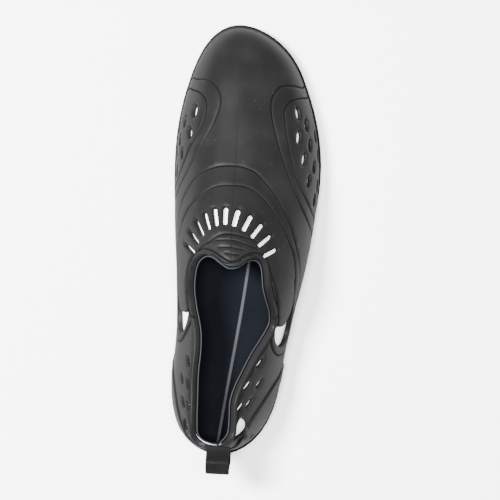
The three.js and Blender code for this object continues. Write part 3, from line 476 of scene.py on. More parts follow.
def oval(hole, size, sides=20):
    angle = np.arange(sides) * 2 * math.pi / sides
    x, y = np.cos(angle) * size[0] / 2, np.sin(angle) * size[1] / 2
    turn = math.radians(hole[2])
    return near(hole[:2], x * math.cos(turn) + y * math.sin(turn), y * math.cos(turn) - x * math.sin(turn))


def vent_slot(i):
    """A slot with round ends that points away from the fan's centre."""
    angle = math.radians(-FAN_SPREAD + 2 * FAN_SPREAD * i / (SLOT_COUNT - 1))
    out = FAN_RADII[0] * math.cos(angle), FAN_RADII[1] * math.sin(angle)
    centre = FAN_CENTRE[0] + out[0], FAN_CENTRE[1] + out[1]
    along, across, _ = frame_at([centre])
    heading = math.atan2(out[1] * np.linalg.norm(across), out[0] * np.linalg.norm(along))
    swing = np.linspace(-math.pi / 2, math.pi / 2, 7)
    straight = (SLOT_SIZE[0] - SLOT_SIZE[1]) / 2
    half = np.linspace(-1, 1, 8)[1:-1] * straight
    x = np.concatenate([straight + np.cos(swing) * SLOT_SIZE[1] / 2, -half,
                        -straight - np.cos(swing) * SLOT_SIZE[1] / 2, half])
    y = np.concatenate([np.sin(swing), np.ones(6), -np.sin(swing), -np.ones(6)]) * SLOT_SIZE[1] / 2
    lengthwise = x * math.cos(heading) - y * math.sin(heading)
    crosswise = x * math.sin(heading) + y * math.cos(heading)
    return near(centre, lengthwise, crosswise)


# The moulded shell

opening = smooth_line(round_the_heel(OPENING))
bead = offset(opening, COLLAR_BEAD)
cuts = [smooth_line(line) for line in (OUTER_CRESCENT, INNER_CRESCENT, OUTER_LEAF, INNER_LEAF)]
cuts += [vent_slot(i) for i in range(SLOT_COUNT)]
cuts += [oval(hole, HOLE_SIZE) for hole in HOLES] + [oval(hole, QUARTER_HOLE_SIZE) for hole in QUARTER_HOLES]
steps = {name: smooth_line(rows) for name, rows in {
    "border": BORDER, "panel": PANEL, "tab": TAB_PAD, "band": HEEL_BAND, "inner_band": mirrored(HEEL_BAND),
    "side": OUTER_SIDE, "inner_side": INNER_SIDE, "mesh": OUTER_MESH, "inner_mesh": INNER_MESH}.items()}
steps["bead"] = bead
grips = [open_line(rows) for rows in GRIPS + [LIP]]
parting = open_line(PARTING)


RAISED = ("border", "panel", "tab", "band", "inner_band", "bead")


def relief(places):
    """How proud of the form the shell's outer face stands at each place, with a crease at the foot of
    every step, and how deep in a crease or a fine line each place lies, which marks where shade is painted."""
    points = form(places)
    depth = {name: depth_within(places, points, line) for name, line in steps.items()}
    ramp = {name: smooth(depth[name] / (SOFT_RAMP if name == "inner_side" else RAMP) + 0.5) for name in steps}
    crease = np.zeros(len(places))
    from_leaf = nearest(points, np.concatenate([form(cut) for cut in cuts[2:4]]))
    for name in steps:
        foot = depth[name] * (-1 if name in RAISED else 1) - CREASE_FOOT
        hidden = np.zeros(len(places))
        if name in ("side", "inner_side", "mesh", "inner_mesh"):
            hidden = ramp["border"]
        if name in ("border", "panel", "band", "inner_band"):
            hidden = np.maximum(ramp["tab"], ramp["bead"])
        if name in ("band", "inner_band"):
            hidden = np.maximum(hidden, 1 - smooth((from_leaf - LEAF_CLEAR) / LEAF_FADE))
        strength = SOFT_CREASE if name == "inner_side" else 1
        crease = np.maximum(crease, strength * np.exp(-(foot / CREASE_WIDTH) ** 2) * (1 - hidden))
    mesh_step = MESH_RECESS - SIDE_RECESS
    sunk = SIDE_RECESS * ramp["side"] + mesh_step * ramp["mesh"]
    sunk = sunk + INNER_SIDE_RECESS * ramp["inner_side"] + mesh_step / 2 * ramp["inner_mesh"]
    proud = BORDER_STEP * ramp["border"] + (PANEL_STEP - BORDER_STEP) * ramp["panel"]
    proud = proud - sunk * (1 - ramp["border"])
    proud = np.maximum(proud, BAND_STEP * np.maximum(ramp["band"], ramp["inner_band"]))
    proud = np.maximum(proud, proud + (COLLAR_STEP - proud) * np.maximum(ramp["bead"], ramp["tab"]))
    grip = np.max([groove(points, line, GRIP_WIDTH) for line in grips], 0)
    proud = proud - GRIP_DEPTH * grip
    above = points[:, 2] - (sole_top(points[:, 1]) + GAP)
    proud = proud + FOOT_FLARE * np.exp(-(above / FOOT_FLARE_HEIGHT) ** 2) * (places[:, 0] > NUDGE)
    fade = smooth((PARTING[-1][0] - places[:, 0]) / PARTING_FADE)
    hairline = fade * groove(points, parting, PARTING_WIDTH)
    proud = proud - CREASE_DEPTH * crease - PARTING_DEPTH * hairline
    # The second value marks where the shell's finish paints shade: the creases, the grips and, more faintly,
    # the parting line.
    return np.maximum(proud, -DEEPEST), np.max([crease, grip, 0.5 * hairline], 0)


def girth_table(count=160, steps_round=81):
    """For rows along the shoe: their station, the length along the ridge, and the girth both ways."""
    stations = np.linspace(0, 1, count)
    ridge = form(np.stack([stations, np.ones(count)], -1))
    length = lengths_along(ridge)
    turns = np.linspace(0, 2, 2 * steps_round - 1)
    girths = []
    for station in stations:
        points = form(np.stack([np.full(len(turns), station), turns], -1))
        girth = lengths_along(points)
        girths.append(girth - girth[steps_round - 1])
    return stations, length, turns, np.array(girths)


STATIONS, LENGTHS, TURNS, GIRTHS = girth_table()


def flat(places):
    """Places on the last laid out flat: length along the ridge, and girth from the ridge."""
    station, around = np.asarray(places, float).T
    i = np.clip(np.searchsorted(STATIONS, station) - 1, 0, len(STATIONS) - 2)
    share = (station - STATIONS[i]) / (STATIONS[i + 1] - STATIONS[i])
    j = np.clip(np.searchsorted(TURNS, around) - 1, 0, len(TURNS) - 2)
    part = (around - TURNS[j]) / (TURNS[j + 1] - TURNS[j])
    low = GIRTHS[i, j] * (1 - part) + GIRTHS[i, j + 1] * part
    high = GIRTHS[i + 1, j] * (1 - part) + GIRTHS[i + 1, j + 1] * part
    length = LENGTHS[i] * (1 - share) + LENGTHS[i + 1] * share
    return np.stack([length, low * (1 - share) + high * share], -1)


def rows_of_places(cell):
    """Even rows of places over the last, a cell apart, without its edges."""
    rows = []
    count = round(LENGTHS[-1] / cell)
    for k in range(1, count):
        station = np.interp(LENGTHS[-1] * k / count, LENGTHS, STATIONS)
        girth = np.array([np.interp(station, STATIONS, GIRTHS[:, j]) for j in range(len(TURNS))])
        steps_round = max(6, round((girth[-1] - girth[0]) / cell))
        shift = 0.5 * (k % 2) - 0.25
        spots = girth[0] + (girth[-1] - girth[0]) * (np.arange(1, steps_round) + shift) / steps_round
        rows.append(np.stack([np.full(len(spots), station), np.interp(spots, girth, TURNS)], -1))
    return np.concatenate(rows)


def collar_chain(line):
    """The part of a collar line that lies ahead of the heel's middle, from the outer side round."""
    first = int(np.argmin(np.abs(line[:, 0]) + 10 * (line[:, 1] > 1)))
    chain = np.roll(line, -first, 0)
    chain = chain[:int(np.argmin(np.abs(chain[:, 0]) + 10 * (chain[:, 1] < 1))) + 1]
    chain[0, 0] = chain[-1, 0] = 0
    chain[-1, 1] = 2 - chain[0, 1]
    return chain


def drawn_sheet(holes, collar, lines, cell):
    """Triangles over the last, below the collar and round the holes, with points close to the lines."""
    chain = collar_chain(collar)
    top = chain[0, 1]
    heel = np.arange(0, top, HEEL_STEP)[1:]
    stations = np.interp(np.arange(1, round(LENGTHS[-1] / cell)) * cell, LENGTHS, STATIONS)
    edge_out = np.stack([stations, np.zeros(len(stations))], -1)
    edge_in = np.stack([stations, np.full(len(stations), 2.0)], -1)
    border = np.concatenate([
        [(0, 0)], np.stack([0 * heel, heel], -1), chain, np.stack([0 * heel, 2 - heel], -1)[::-1],
        [(0, 2)], edge_in, [(1, 1)], edge_out[::-1]])
    rings = [border] + list(holes)
    fixed = np.concatenate(rings)
    edges = []
    start = 0
    for ring in rings:
        edges += [(start + i, start + (i + 1) % len(ring)) for i in range(len(ring))]
        start += len(ring)
    loose = np.concatenate(lines)
    low, high = np.array(CLEAR_OF_EDGES)
    loose = loose[((loose > low) & (loose < high)).all(1)]
    fixed_flat = flat(fixed)
    loose = loose[nearest(lifted(flat(loose)), lifted(fixed_flat)) > FIXED_CLEAR]
    loose = thinned(loose, LOOSE_APART)
    even = rows_of_places(cell)
    taken = np.concatenate([fixed_flat, flat(loose)])
    even = even[nearest(lifted(flat(even)), lifted(taken)) > ROOM * cell]
    places = np.concatenate([fixed, loose, even])
    spots, _, faces, kept, _, _ = delaunay_2d_cdt([Vector(p) for p in flat(places)], edges, [], 0, 1e-5)
    source = np.array([k[0] for k in kept])
    faces = source[np.array(faces)]
    flat_middle = flat(places)[faces].mean(1)
    keep = inside(flat_middle, flat(border))
    for hole in holes:
        keep &= ~inside(flat_middle, flat(hole))
    return places, faces[keep]


def lifted(spots):
    """Flat spots as points in space."""
    return np.concatenate([spots, np.zeros((len(spots), 1))], 1)


def thinned(places, apart):
    """Drops places that crowd closer than a distance, one per small cell of the flat sheet."""
    keys = np.floor(flat(places) / apart).astype(int)
    _, index = np.unique(keys, axis=0, return_index=True)
    return places[np.sort(index)]


def make_mesh(name, points, faces):
    """A smooth mesh object in the part's frame from millimetres measured from the heel."""
    mesh = bpy.data.meshes.new(name)
    places = (np.asarray(points) - ORIGIN) * MM
    mesh.from_pydata([tuple(place) for place in places], [], [tuple(map(int, face)) for face in faces])
    mesh.validate()
    piece = bpy.data.objects.new(name, mesh)
    bpy.context.scene.collection.objects.link(piece)
    for polygon in mesh.polygons:
        polygon.use_smooth = True
    return piece


def boundary(faces):
    """The edges that only one face uses, in that face's direction."""
    edges = np.concatenate([faces[:, [0, 1]], faces[:, [1, 2]], faces[:, [2, 0]]])
    keys = np.sort(edges, 1)
    _, index, counts = np.unique(keys, axis=0, return_index=True, return_counts=True)
    return edges[index[counts == 1]]


def walled(name, places, faces, outer, inner, crease=None):
    """A closed sheet between its outer and its inner points, joined round every edge but the heel's
    middle, where its two halves meet and are merged."""
    count = len(places)
    rims = boundary(faces)
    at_heel = (places[rims][:, :, 0] < NUDGE).all(1)
    rims = rims[~at_heel]
    walls = np.stack([rims[:, 1], rims[:, 0], rims[:, 0] + count, rims[:, 1] + count], -1)
    sheets = list(faces) + list(faces[:, ::-1] + count) + list(walls)
    piece = make_mesh(name, np.concatenate([outer, inner]), sheets)
    # The crease attribute carries where the shell's finish paints shade, on the outer face only.
    if crease is not None:
        mark = piece.data.attributes.new("crease", "FLOAT", "POINT")
        mark.data.foreach_set("value", np.concatenate([crease, 0 * crease]))
    shape = bmesh.new()
    shape.from_mesh(piece.data)
    bmesh.ops.remove_doubles(shape, verts=shape.verts, dist=2e-6)
    shape.to_mesh(piece.data)
    shape.free()
    return piece


def make_shell():
    """The drawn shell, with points close to every cut, step and fine line."""
    rims = [opening] + cuts
    lines = [offset(rim, away) for rim in rims for away in RIM_RINGS]
    lines += [beside(line, away) for line in grips for away in GRIP_RINGS]
    lines += [beside(parting, away) for away in PARTING_RINGS]
    lines += list(steps.values())
    lines += [offset(line, away * (1 if name in RAISED else -1)) for name, line in steps.items()
              for away in STEP_RINGS]
    lines = [line[line[:, 0] >= 0] for line in lines]
    places, faces = drawn_sheet(cuts, opening, lines, CELL)
    proud, crease = relief(places)
    apart = nearest(form(places), np.concatenate([form(rim) for rim in rims]))
    apart = np.minimum(apart, EDGE_ROUND)
    proud = proud - (EDGE_ROUND - np.sqrt(EDGE_ROUND ** 2 - (EDGE_ROUND - apart) ** 2))
    return walled("shell", places, faces, on_form(places, proud), on_form(places, -WALL), crease)


shell = make_shell()


# Finishes

class Level:
    """A number that varies over a surface. Sums and products of levels add Math nodes."""

    def __init__(self, finish, socket):
        self.finish = finish
        self.socket = socket

    def combined(self, operation, *others):
        values = {0: self, **dict(enumerate(others, 1))}
        return self.finish.level("ShaderNodeMath", {"operation": operation}, values)

    def __add__(self, other):
        return self.combined("ADD", other)

    def __sub__(self, other):
        return self.combined("SUBTRACT", other)

    def __mul__(self, other):
        return self.combined("MULTIPLY", other)

    def __rsub__(self, other):
        return (self * -1) + other

    __radd__ = __add__
    __rmul__ = __mul__

    def sine(self):
        return self.combined("SINE")

    def magnitude(self):
        return self.combined("ABSOLUTE")

    def between(self, low, high):
        """0 below low, 1 above high, smooth between."""
        return self.finish.level("ShaderNodeMapRange", {"interpolation_type": "SMOOTHSTEP"},
                                 {0: self, 1: low, 2: high, 3: 0, 4: 1})


class Finish:
    """A material whose nodes are added through one method."""

    def __init__(self, name, **constants):
        self.material = bpy.data.materials.new(name)
        self.material.use_nodes = True
        self.tree = self.material.node_tree
        self.shader = next(node for node in self.tree.nodes if node.type == "BSDF_PRINCIPLED")
        for socket, value in constants.items():
            self.shader.inputs[socket.replace("_", " ")].default_value = value

    def node(self, kind, settings, values):
        """A node whose settings are made first, then the values or links of its sockets."""
        node = self.tree.nodes.new(kind)
        for name, value in settings.items():
            setattr(node, name, value)
        for socket, value in values.items():
            value = value.socket if isinstance(value, Level) else value
            if isinstance(value, bpy.types.NodeSocket):
                self.tree.links.new(value, node.inputs[socket])
            else:
                node.inputs[socket].default_value = value
        return node

    def level(self, kind, settings, values, output=0):
        return Level(self, self.node(kind, settings, values).outputs[output])

    def place(self, name="Object"):
        """Object coordinates, or the piece's UV map."""
        return self.node("ShaderNodeTexCoord", {}, {}).outputs[name]

    def drawn_out(self, place, scale):
        """Coordinates that run slower one way, for streaks."""
        return self.node("ShaderNodeMapping", {}, {"Vector": place, "Scale": scale}).outputs[0]

    def axis(self, place, index):
        return self.level("ShaderNodeSeparateXYZ", {}, {0: place}, index)

    def noise(self, place, scale, detail=3.0, roughness=0.5):
        return self.level("ShaderNodeTexNoise", {}, {
            "Vector": place, "Scale": scale, "Detail": detail, "Roughness": roughness})

    def blend(self, amount, first, second):
        node = self.node("ShaderNodeMix", {"data_type": "RGBA"}, {0: amount, 6: first, 7: second})
        return node.outputs[2]

    def connect(self, socket, value):
        source = value.socket if isinstance(value, Level) else value
        self.tree.links.new(source, self.shader.inputs[socket])

    def raise_by(self, height, distance, strength=1.0):
        """Bump of a height that runs from 0 to 1."""
        bump = self.node("ShaderNodeBump", {}, {"Height": height, "Distance": distance, "Strength": strength})
        self.connect("Normal", bump.outputs[0])


def grey(level, tint=(1.0, 1.0, 1.0)):
    return (level * tint[0], level * tint[1], level * tint[2], 1)


def moulded_black(name, level, roughness, tint=(1.0, 1.0, 1.04)):
    """Satin moulded rubber: fine grain, slow mottling, a few dust specks, and painted shade in the creases
    and fine lines that a piece marks.
    """
    finish = Finish(name, IOR=1.5, Specular_IOR_Level=0.034)
    place = finish.place()
    slow = finish.noise(place, 28, 2)
    fine = finish.noise(place, 900, 2)
    grain = finish.noise(place, 2600, 2)
    specks = finish.level("ShaderNodeTexVoronoi", {}, {"Vector": place, "Scale": 210.0, "Randomness": 1.0})
    chosen = finish.noise(place, 150, 1).between(0.56, 0.62)
    dust = (1 - specks.between(0.03, 0.1)) * chosen
    worn = finish.noise(place, 60, 4, 0.65).between(0.52, 0.72)
    streaks = finish.noise(finish.drawn_out(place, (1, 0.25, 1)), 55, 3, 0.6)
    mottled = (slow + streaks * 0.6).between(0.5, 1.1)
    base = finish.blend(mottled, grey(level * 0.8, tint), grey(level * 1.3, tint))
    base = finish.blend(worn * 0.3, base, grey(level * 1.7, tint))
    base = finish.blend(dust * 0.09, base, grey(0.2))
    # Painted shade: where the crease attribute marks creases and fine lines, the base colour is darkened
    # almost to black as if in shade, and the roughness is raised there too.
    crease = finish.level("ShaderNodeAttribute", {"attribute_name": "crease"}, {}, "Fac")
    base = finish.blend(crease * 0.9, base, grey(level * 0.1))
    finish.connect("Base Color", base)
    steep = 1 - finish.axis(finish.place("Normal"), 2).magnitude().between(0.2, 0.75)
    uneven = (slow - 0.5) * 0.1 + (streaks - 0.5) * 0.12 + (fine - 0.5) * 0.08 + worn * 0.05
    finish.connect("Roughness", uneven + steep * 0.25 + crease * 0.5 + roughness)
    finish.raise_by(grain * 0.6 + fine * 0.4, 0.00005, 0.5)
    return finish.material


def knit(name, level, tint, roughness=0.9, pitch=1400.0):
    """Fine knitted cloth with rows of small ribs and a soft sheen."""
    finish = Finish(
        name, Sheen_Weight=0.003, Sheen_Roughness=0.5, Specular_IOR_Level=0.02, Roughness=roughness)
    place = finish.place()
    across = finish.axis(place, 0) * pitch * 2
    down = (finish.axis(place, 1) + finish.axis(place, 2) * 0.7) * pitch * 2
    loops = across.sine() * down.sine() * 0.5 + 0.5
    slow = finish.noise(place, 45, 3)
    base = finish.blend(slow.between(0.3, 0.7), grey(level * 0.85, tint), grey(level * 1.2, tint))
    base = finish.blend(loops * 0.35, base, grey(level * 1.7, tint))
    finish.connect("Base Color", base)
    finish.raise_by(loops, 0.00012, 0.6)
    return finish.material


def plain_cloth(name, level, roughness=0.95, pitch=5200):
    """Plain woven cloth with a fine over and under."""
    finish = Finish(name, Roughness=roughness)
    place = finish.place()
    warp = (finish.axis(place, 1) * pitch).sine()
    weft = ((finish.axis(place, 2) + finish.axis(place, 0)) * pitch).sine()
    weave = warp * weft
    slow = finish.noise(place, 60, 2)
    finish.connect("Base Color", finish.blend(slow * 0.3, grey(level), grey(level * 0.9)))
    finish.raise_by(weave * 0.5 + 0.5, 0.00008, 0.4)
    return finish.material


def thread(name, level, tint=(0.93, 0.98, 1.08)):
    """Overlocking thread: slanted strands side by side."""
    finish = Finish(name, Roughness=0.75, Specular_IOR_Level=0.1)
    place = finish.place("UV")
    strands = (finish.axis(place, 0) * math.tau + finish.axis(place, 1) * 4.0).sine() * 0.5 + 0.5
    base = finish.blend(strands, grey(level * 0.6, tint), grey(level * 1.3, tint))
    finish.connect("Base Color", base)
    finish.raise_by(strands, 0.0002, 0.8)
    return finish.material


# The sock, its seam and its edging

SEAM = spline(np.array([0.0, 9.2, 29.4, 63.6, 90.2, 109.0, 126.0, 160.0]),
              np.array([-1.6, -0.5, 1.8, 6.2, 9.6, 11.7, 13.4, 16.5]))
SEAM_END = 150.0
SOCK_CELL = 3.0
SOCK_RINGS = (2.9, 4.4)


def footbed(y):
    return sole_top(y) + GAP + INSOLE_THICKNESS


def drawn_in(points, lift):
    """The sock's outer side wall leaves the shell and comes in to the seam on the footbed."""
    chain = form(collar_chain(opening.copy()))
    chain = chain[chain[:, 0] > np.interp(chain[:, 1], [10, 120], [-4, -2])]
    order = np.argsort(chain[:, 1])
    top = np.interp(points[:, 1], chain[order, 1], chain[order, 2])
    low = footbed(points[:, 1]) + lift
    rise = (points[:, 2] - low) / (top - low)
    fade = 1 - smooth((points[:, 1] - 125) / 60)
    middle = form(np.stack([np.interp(points[:, 1], *ridge_stations()), np.ones(len(points))], -1))[:, 0]
    outer = smooth((points[:, 0] - middle + 1) / 3)
    pull = np.clip(1 - rise, 0, 1) ** 1.7 * fade * outer
    moved = points.copy()
    moved[:, 0] += (SEAM(points[:, 1]) - points[:, 0]) * pull
    moved[:, 2] = np.maximum(points[:, 2], low)
    return moved


def ridge_stations():
    stations = np.linspace(0, 1, 120)
    return form(np.stack([stations, np.ones(120)], -1))[:, 1], stations


def make_sock(name, outside, inside_of, margin, close_to_seam):
    """A sheet of the sock between two depths under the form, up to a margin from the opening."""
    collar = offset(opening, margin)
    rings = [offset(opening, away) for away in SOCK_RINGS]
    rings = [line[line[:, 0] >= 0] for line in rings]
    places, faces = drawn_sheet([], collar, rings, SOCK_CELL)
    outer, inner = on_form(places, -outside), on_form(places, -inside_of)
    if close_to_seam:
        outer, inner = drawn_in(outer, 0.1), drawn_in(inner, 0.6)
    return walled(name, places, faces, outer, inner)


def resampled(path, step, closed):
    if closed:
        path = np.concatenate([path, path[:1]])
    length = lengths_along(path)
    count = round(length[-1] / step)
    at = np.arange(count) * length[-1] / count if closed else np.linspace(0, length[-1], count)
    return np.stack([np.interp(at, length, path[:, k]) for k in range(3)], -1)


def ring_faces(count, sides, closed):
    """Faces between the rings of a tube, with an end cap at both ends unless it is closed."""
    faces = []
    for i in range(count if closed else count - 1):
        here, ahead = i * sides, (i + 1) % count * sides
        for k in range(sides):
            after = (k + 1) % sides
            faces.append((here + k, here + after, ahead + after, ahead + k))
    if not closed:
        faces += [tuple(range(sides))[::-1], tuple((count - 1) * sides + k for k in range(sides))]
    return faces


def swept(name, path, up, half_width, half_height, step, stitch, bulge, closed=False, sides=10):
    """A stitched edging along a path: an oval section that swells at every stitch."""
    path = resampled(path, step, closed)
    if closed:
        run = np.roll(path, -1, 0) - np.roll(path, 1, 0)
    else:
        run = np.gradient(path, axis=0)
    run /= np.linalg.norm(run, axis=1, keepdims=True)
    across = np.cross(run, up)
    across /= np.linalg.norm(across, axis=1, keepdims=True)
    upward = np.cross(across, run)
    along = np.arange(len(path)) * step
    angle = np.arange(sides) * 2 * math.pi / sides
    swell = 1 + bulge * np.abs(np.sin(math.pi * along / stitch))[:, None, None]
    ring = (across[:, None] * (np.cos(angle) * half_width)[None, :, None]
            + upward[:, None] * (np.sin(angle) * half_height)[None, :, None]) * swell
    points = (path[:, None] + ring).reshape(-1, 3)
    piece = make_mesh(name, points, ring_faces(len(path), sides, closed))
    layer = piece.data.uv_layers.new(name="UVMap")
    for polygon in piece.data.polygons:
        for loop, vertex in zip(polygon.loop_indices, polygon.vertices):
            i, k = divmod(vertex, sides)
            layer.data[loop].uv = (along[i] / stitch, k / sides)
    fix_normals(piece)
    return piece


def fix_normals(piece):
    shape = bmesh.new()
    shape.from_mesh(piece.data)
    bmesh.ops.recalc_face_normals(shape, faces=shape.faces)
    if shape.calc_volume(signed=True) < 0:
        bmesh.ops.reverse_faces(shape, faces=shape.faces)
    shape.to_mesh(piece.data)
    shape.free()


def make_seam():
    y = np.linspace(7.5, SEAM_END, 90)
    path = np.stack([SEAM(y), y, footbed(y) + 0.9], -1)
    return swept("sock_seam", path, (0, 0, 1), 1.05, 0.7, 0.25, 1.1, 0.22)


def make_edging():
    chain = collar_chain(offset(opening, -0.9))
    path = on_form(chain, -(WALL + 0.6))
    return swept("sock_edging", path[:-1], (0.02, 0.03, 1), 0.3, 0.5, 0.2, 0.95, 0.45, closed=True, sides=8)


# The pull loop

LOOP_WIDTH = 15.0
LOOP_STRAP = 2.0
LOOP_TOP_HEIGHT = 62.0
LOOP_FOOT_HEIGHT = 38.0
LOOP_REACH = 12.9
LOOP_FOLD_AT = -1.1
LOOP_FOLD_RISE = 0.7
LOOP_FOLD_WIDTH = 0.9


def make_loop():
    """A folded strap with rounded edges, from over the collar's back, out, down and in to the heel."""
    rise = np.linspace(0, 1, 400)
    wall = form(np.stack([np.zeros(400), rise], -1))

    def at(height):
        return np.array([np.interp(height, wall[:, 2], wall[:, k]) for k in range(3)])

    top, foot = at(LOOP_TOP_HEIGHT - LOOP_STRAP / 2), at(LOOP_FOOT_HEIGHT + LOOP_STRAP / 2)
    top[1] -= 0.2
    foot[1] -= 0.2
    back = top[1] - 2.4 - LOOP_REACH
    drop = (top[2] - foot[2]) / 2
    knots = np.array([
        (top[0], top[1] + 2.6, top[2] + 5.4), (top[0], top[1] - 0.6, top[2] + 4.6),
        (top[0], (top[1] * 2 + back) / 3, top[2] + 0.12 * drop),
        (top[0], top[1] * 0.25 + back * 0.75, top[2] - 0.10 * drop),
        (top[0] * 0.8, back + 0.6, top[2] - 0.35 * drop),
        (top[0] * 0.6 + foot[0] * 0.4, back + 0.4, top[2] - 0.62 * drop),
        (top[0] * 0.5 + foot[0] * 0.5, back + 3.0, top[2] - 0.92 * drop),
        (foot[0], (foot[1] + back) / 2, foot[2] + 0.55 * drop), foot])
    at_knot = lengths_along(knots, 0.5)
    curves = [spline(at_knot, knots[:, k]) for k in range(3)]
    path = resampled(np.stack([curve(np.linspace(0, at_knot[-1], 300)) for curve in curves], -1), 0.4, False)
    upper_run = smooth((path[:, 2] - LOOP_TOP_HEIGHT + 6) / 3)
    path[:, 2] += LOOP_FOLD_RISE * upper_run * np.exp(-((path[:, 1] - LOOP_FOLD_AT) / LOOP_FOLD_WIDTH) ** 2)
    run = np.gradient(path, axis=0)
    run /= np.linalg.norm(run, axis=1, keepdims=True)
    out = np.cross((1, 0, 0), run)
    out /= np.linalg.norm(out, axis=1, keepdims=True)
    section = []
    half, thick, soft = LOOP_WIDTH / 2, LOOP_STRAP / 2, 0.7
    for sx, sz, start in ((1, 1, 0), (-1, 1, 90), (-1, -1, 180), (1, -1, 270)):
        for angle in np.radians(start + np.arange(0, 91, 22.5)):
            x = sx * (half - soft) + soft * math.cos(angle)
            z = sz * (thick - soft) + soft * math.sin(angle)
            section.append((x, z))
    section = np.array(section)
    sideways = section[None, :, :1] * np.array([1, 0, 0])
    points = (path[:, None] + sideways + out[:, None] * section[None, :, 1:]).reshape(-1, 3)
    piece = make_mesh("pull_strap", points, ring_faces(len(path), len(section), False))
    fix_normals(piece)
    return piece


# The sole's rim

RIB = 0.83
RIB_GROOVE = 0.28
RIM_SKIN = 0.12
RIM_HEIGHT = 3.6
TREAD_DEPTH = 2.0


def sole_edge(step):
    """Points round the sole's edge, a step apart, from the heel's middle along the outer side and
    back, with the outward direction at each."""
    station = np.linspace(0, 1, 900)
    y = SHOE_LENGTH * (1 - np.cos(math.pi * station)) / 2
    outer = np.stack([WIDTHS[1](station), y, 0 * y], -1)
    inner = np.stack([-WIDTHS[0](station), y, 0 * y], -1)[::-1]
    path = resampled(np.concatenate([outer, inner[1:-1]]), step, True)
    run = np.roll(path, -1, 0) - np.roll(path, 1, 0)
    out = np.stack([run[:, 1], -run[:, 0], 0 * run[:, 0]], -1)
    out /= -np.linalg.norm(out, axis=1, keepdims=True)
    middle = np.array([0, SHOE_LENGTH / 2, 0])
    out *= np.sign(dot(out, path - middle))[:, None]
    return path, out


def make_rim():
    """A thin moulded band over the sole's rim, finely ribbed round the heel and the toe."""
    path, out = sole_edge(RIB / 2)
    y = path[:, 1]
    thickness = sole_top(y) - sole_bottom(y)
    lift = (HEEL_THICKNESS - RIM_HEIGHT - TREAD_DEPTH) * (thickness - TREAD_DEPTH)
    base = sole_bottom(y) + TREAD_DEPTH + lift / (HEEL_THICKNESS - TREAD_DEPTH)
    top = sole_top(y) + RIM_SKIN
    share = y / SHOE_LENGTH
    ribbed = smooth((0.12 - share) / 0.03) + smooth((share - 0.82) / 0.05)
    inset = ribbed * RIB_GROOVE * (np.arange(len(path)) % 2)
    rows = []
    for depth, height in (
            (0.9, base + 0.3), (0.1, base - 0.1), (-RIM_SKIN, base + 0.35), (-RIM_SKIN, top - 0.55),
            (0.1, top - 0.15), (0.45, top), (1.45, top - 0.02), (1.45, top - 0.8)):
        in_groove = inset if depth < 0.4 else 0 * inset
        low = inset * 0.5 if depth > 0.3 and depth < 1.4 else 0 * inset
        up = np.stack([0 * y, 0 * y, height - low], -1)
        rows.append(path * (1, 1, 0) - out * (depth + in_groove)[:, None] + up)
    points = np.stack(rows, 1).reshape(-1, 3)
    piece = make_mesh("sole_rim", points, ring_faces(len(path), len(rows), True))
    fix_normals(piece)
    return piece


def finished(piece, material, slot, *nodes, sharp=None):
    """Gives a piece its material and body, hides the nodes that it stands for, and keeps edges
    sharper than an angle. The slot is not used."""
    piece.data.materials.clear()
    piece.data.materials.append(material)
    if sharp:
        bpy.ops.object.select_all(action="DESELECT")
        piece.select_set(True)
        bpy.context.view_layer.objects.active = piece
        bpy.ops.object.shade_smooth_by_angle(angle=math.radians(sharp))
    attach(piece, "root")
    if nodes:
        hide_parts(*nodes)


black = moulded_black("moulded shell", 0.0056, 0.38)
sole_black = moulded_black("moulded sole", 0.003, 0.5)
strap_black = moulded_black("strap", 0.0035, 0.65)
navy = knit("navy knit", 0.0026, (0.8, 0.95, 1.35))
white = plain_cloth("white lining back", 0.85)
grey_thread = thread("seam thread", 0.026)
pale_thread = thread("edging thread", 0.022, (0.9, 0.98, 1.12))

sock = make_sock("sock", WALL + 0.9, WALL + 1.5, -0.9, True)
lining = make_sock("sock_backing", WALL + 0.25, WALL + 0.8, 1.7, False)
finished(shell, black, "upper", "upper", sharp=50)
finished(sock, navy, "insole", sharp=60)
finished(lining, white, "insole", sharp=60)
finished(make_seam(), grey_thread, "insole")
finished(make_edging(), pale_thread, "insole")
finished(make_loop(), strap_black, "pull_loop", "pull_loop", sharp=50)
finished(make_rim(), sole_black, "outsole", sharp=40)
for node, material in (("outsole", sole_black), ("insole", navy)):
    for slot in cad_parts[node].material_slots:
        slot.material = material


# Floor, light and camera

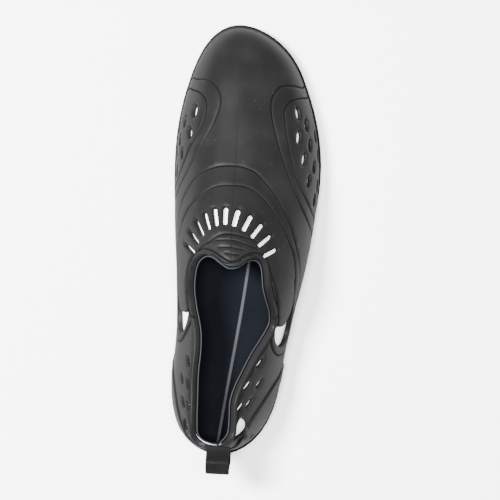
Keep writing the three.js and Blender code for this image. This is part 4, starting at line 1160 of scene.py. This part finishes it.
def add_floor():
    bpy.ops.object.select_all(action="DESELECT")
    bpy.ops.mesh.primitive_plane_add(size=6, location=(0, 0, -0.0002))
    floor = bpy.context.object
    floor.name = "floor"
    finish = Finish("floor", Roughness=0.9)
    slow = finish.noise(finish.place(), 3, 2)
    finish.connect("Base Color", finish.blend(slow * 0.1, grey(0.80), grey(0.78)))
    floor.data.materials.append(finish.material)


LIGHT_TARGET = Vector((0, 0, 0.03))
# Name, place and size in metres, and power in watts
LIGHTS = (
    ("key", (-0.75, 0.2, 1.5), (0.25, 0.4), 165),
    ("overhead", (-0.1, 0.0, 1.75), (0.3, 0.5), 115),
    ("fill", (1.3, 0.0, 0.9), (0.5, 1.2), 3),
    ("back", (0.0, -1.4, 0.8), (1.2, 0.4), 4),
)
WORLD_LIGHT = 0.05


def add_light(name, place, size, power):
    data = bpy.data.lights.new(name, "AREA")
    data.shape = "RECTANGLE"
    data.size, data.size_y = size
    data.energy = power
    light = bpy.data.objects.new(name, data)
    light.location = place
    light.rotation_euler = (LIGHT_TARGET - Vector(place)).to_track_quat("-Z", "Y").to_euler()
    bpy.context.scene.collection.objects.link(light)


add_floor()
for light in LIGHTS:
    add_light(*light)
world = bpy.data.worlds.new("studio")
world.use_nodes = True
background = world.node_tree.nodes["Background"].inputs
background[0].default_value = (1, 1, 1, 1)
background[1].default_value = WORLD_LIGHT
bpy.context.scene.world = world

CAMERA_HEIGHT = 1.4
CAMERA_PLACE = Vector((-0.05431, -0.00227, CAMERA_HEIGHT))
CAMERA_TARGET = Vector((0.0036, -0.001, 0.02))
CAMERA_ROLL = 3.05
FRAME_HEIGHT = 0.331

data = bpy.data.cameras.new("photo view")
data.sensor_width = 36
data.lens = 18 * CAMERA_HEIGHT / (FRAME_HEIGHT / 2)
camera = bpy.data.objects.new("photo view", data)
ahead = (CAMERA_TARGET - CAMERA_PLACE).normalized()
roll = math.radians(CAMERA_ROLL)
right = ahead.cross(Vector((-math.sin(roll), math.cos(roll), 0))).normalized()
turned = Matrix((right, right.cross(ahead), -ahead)).transposed().to_4x4()
camera.matrix_world = Matrix.Translation(CAMERA_PLACE) @ turned
bpy.context.scene.collection.objects.link(camera)
bpy.context.scene.camera = camera
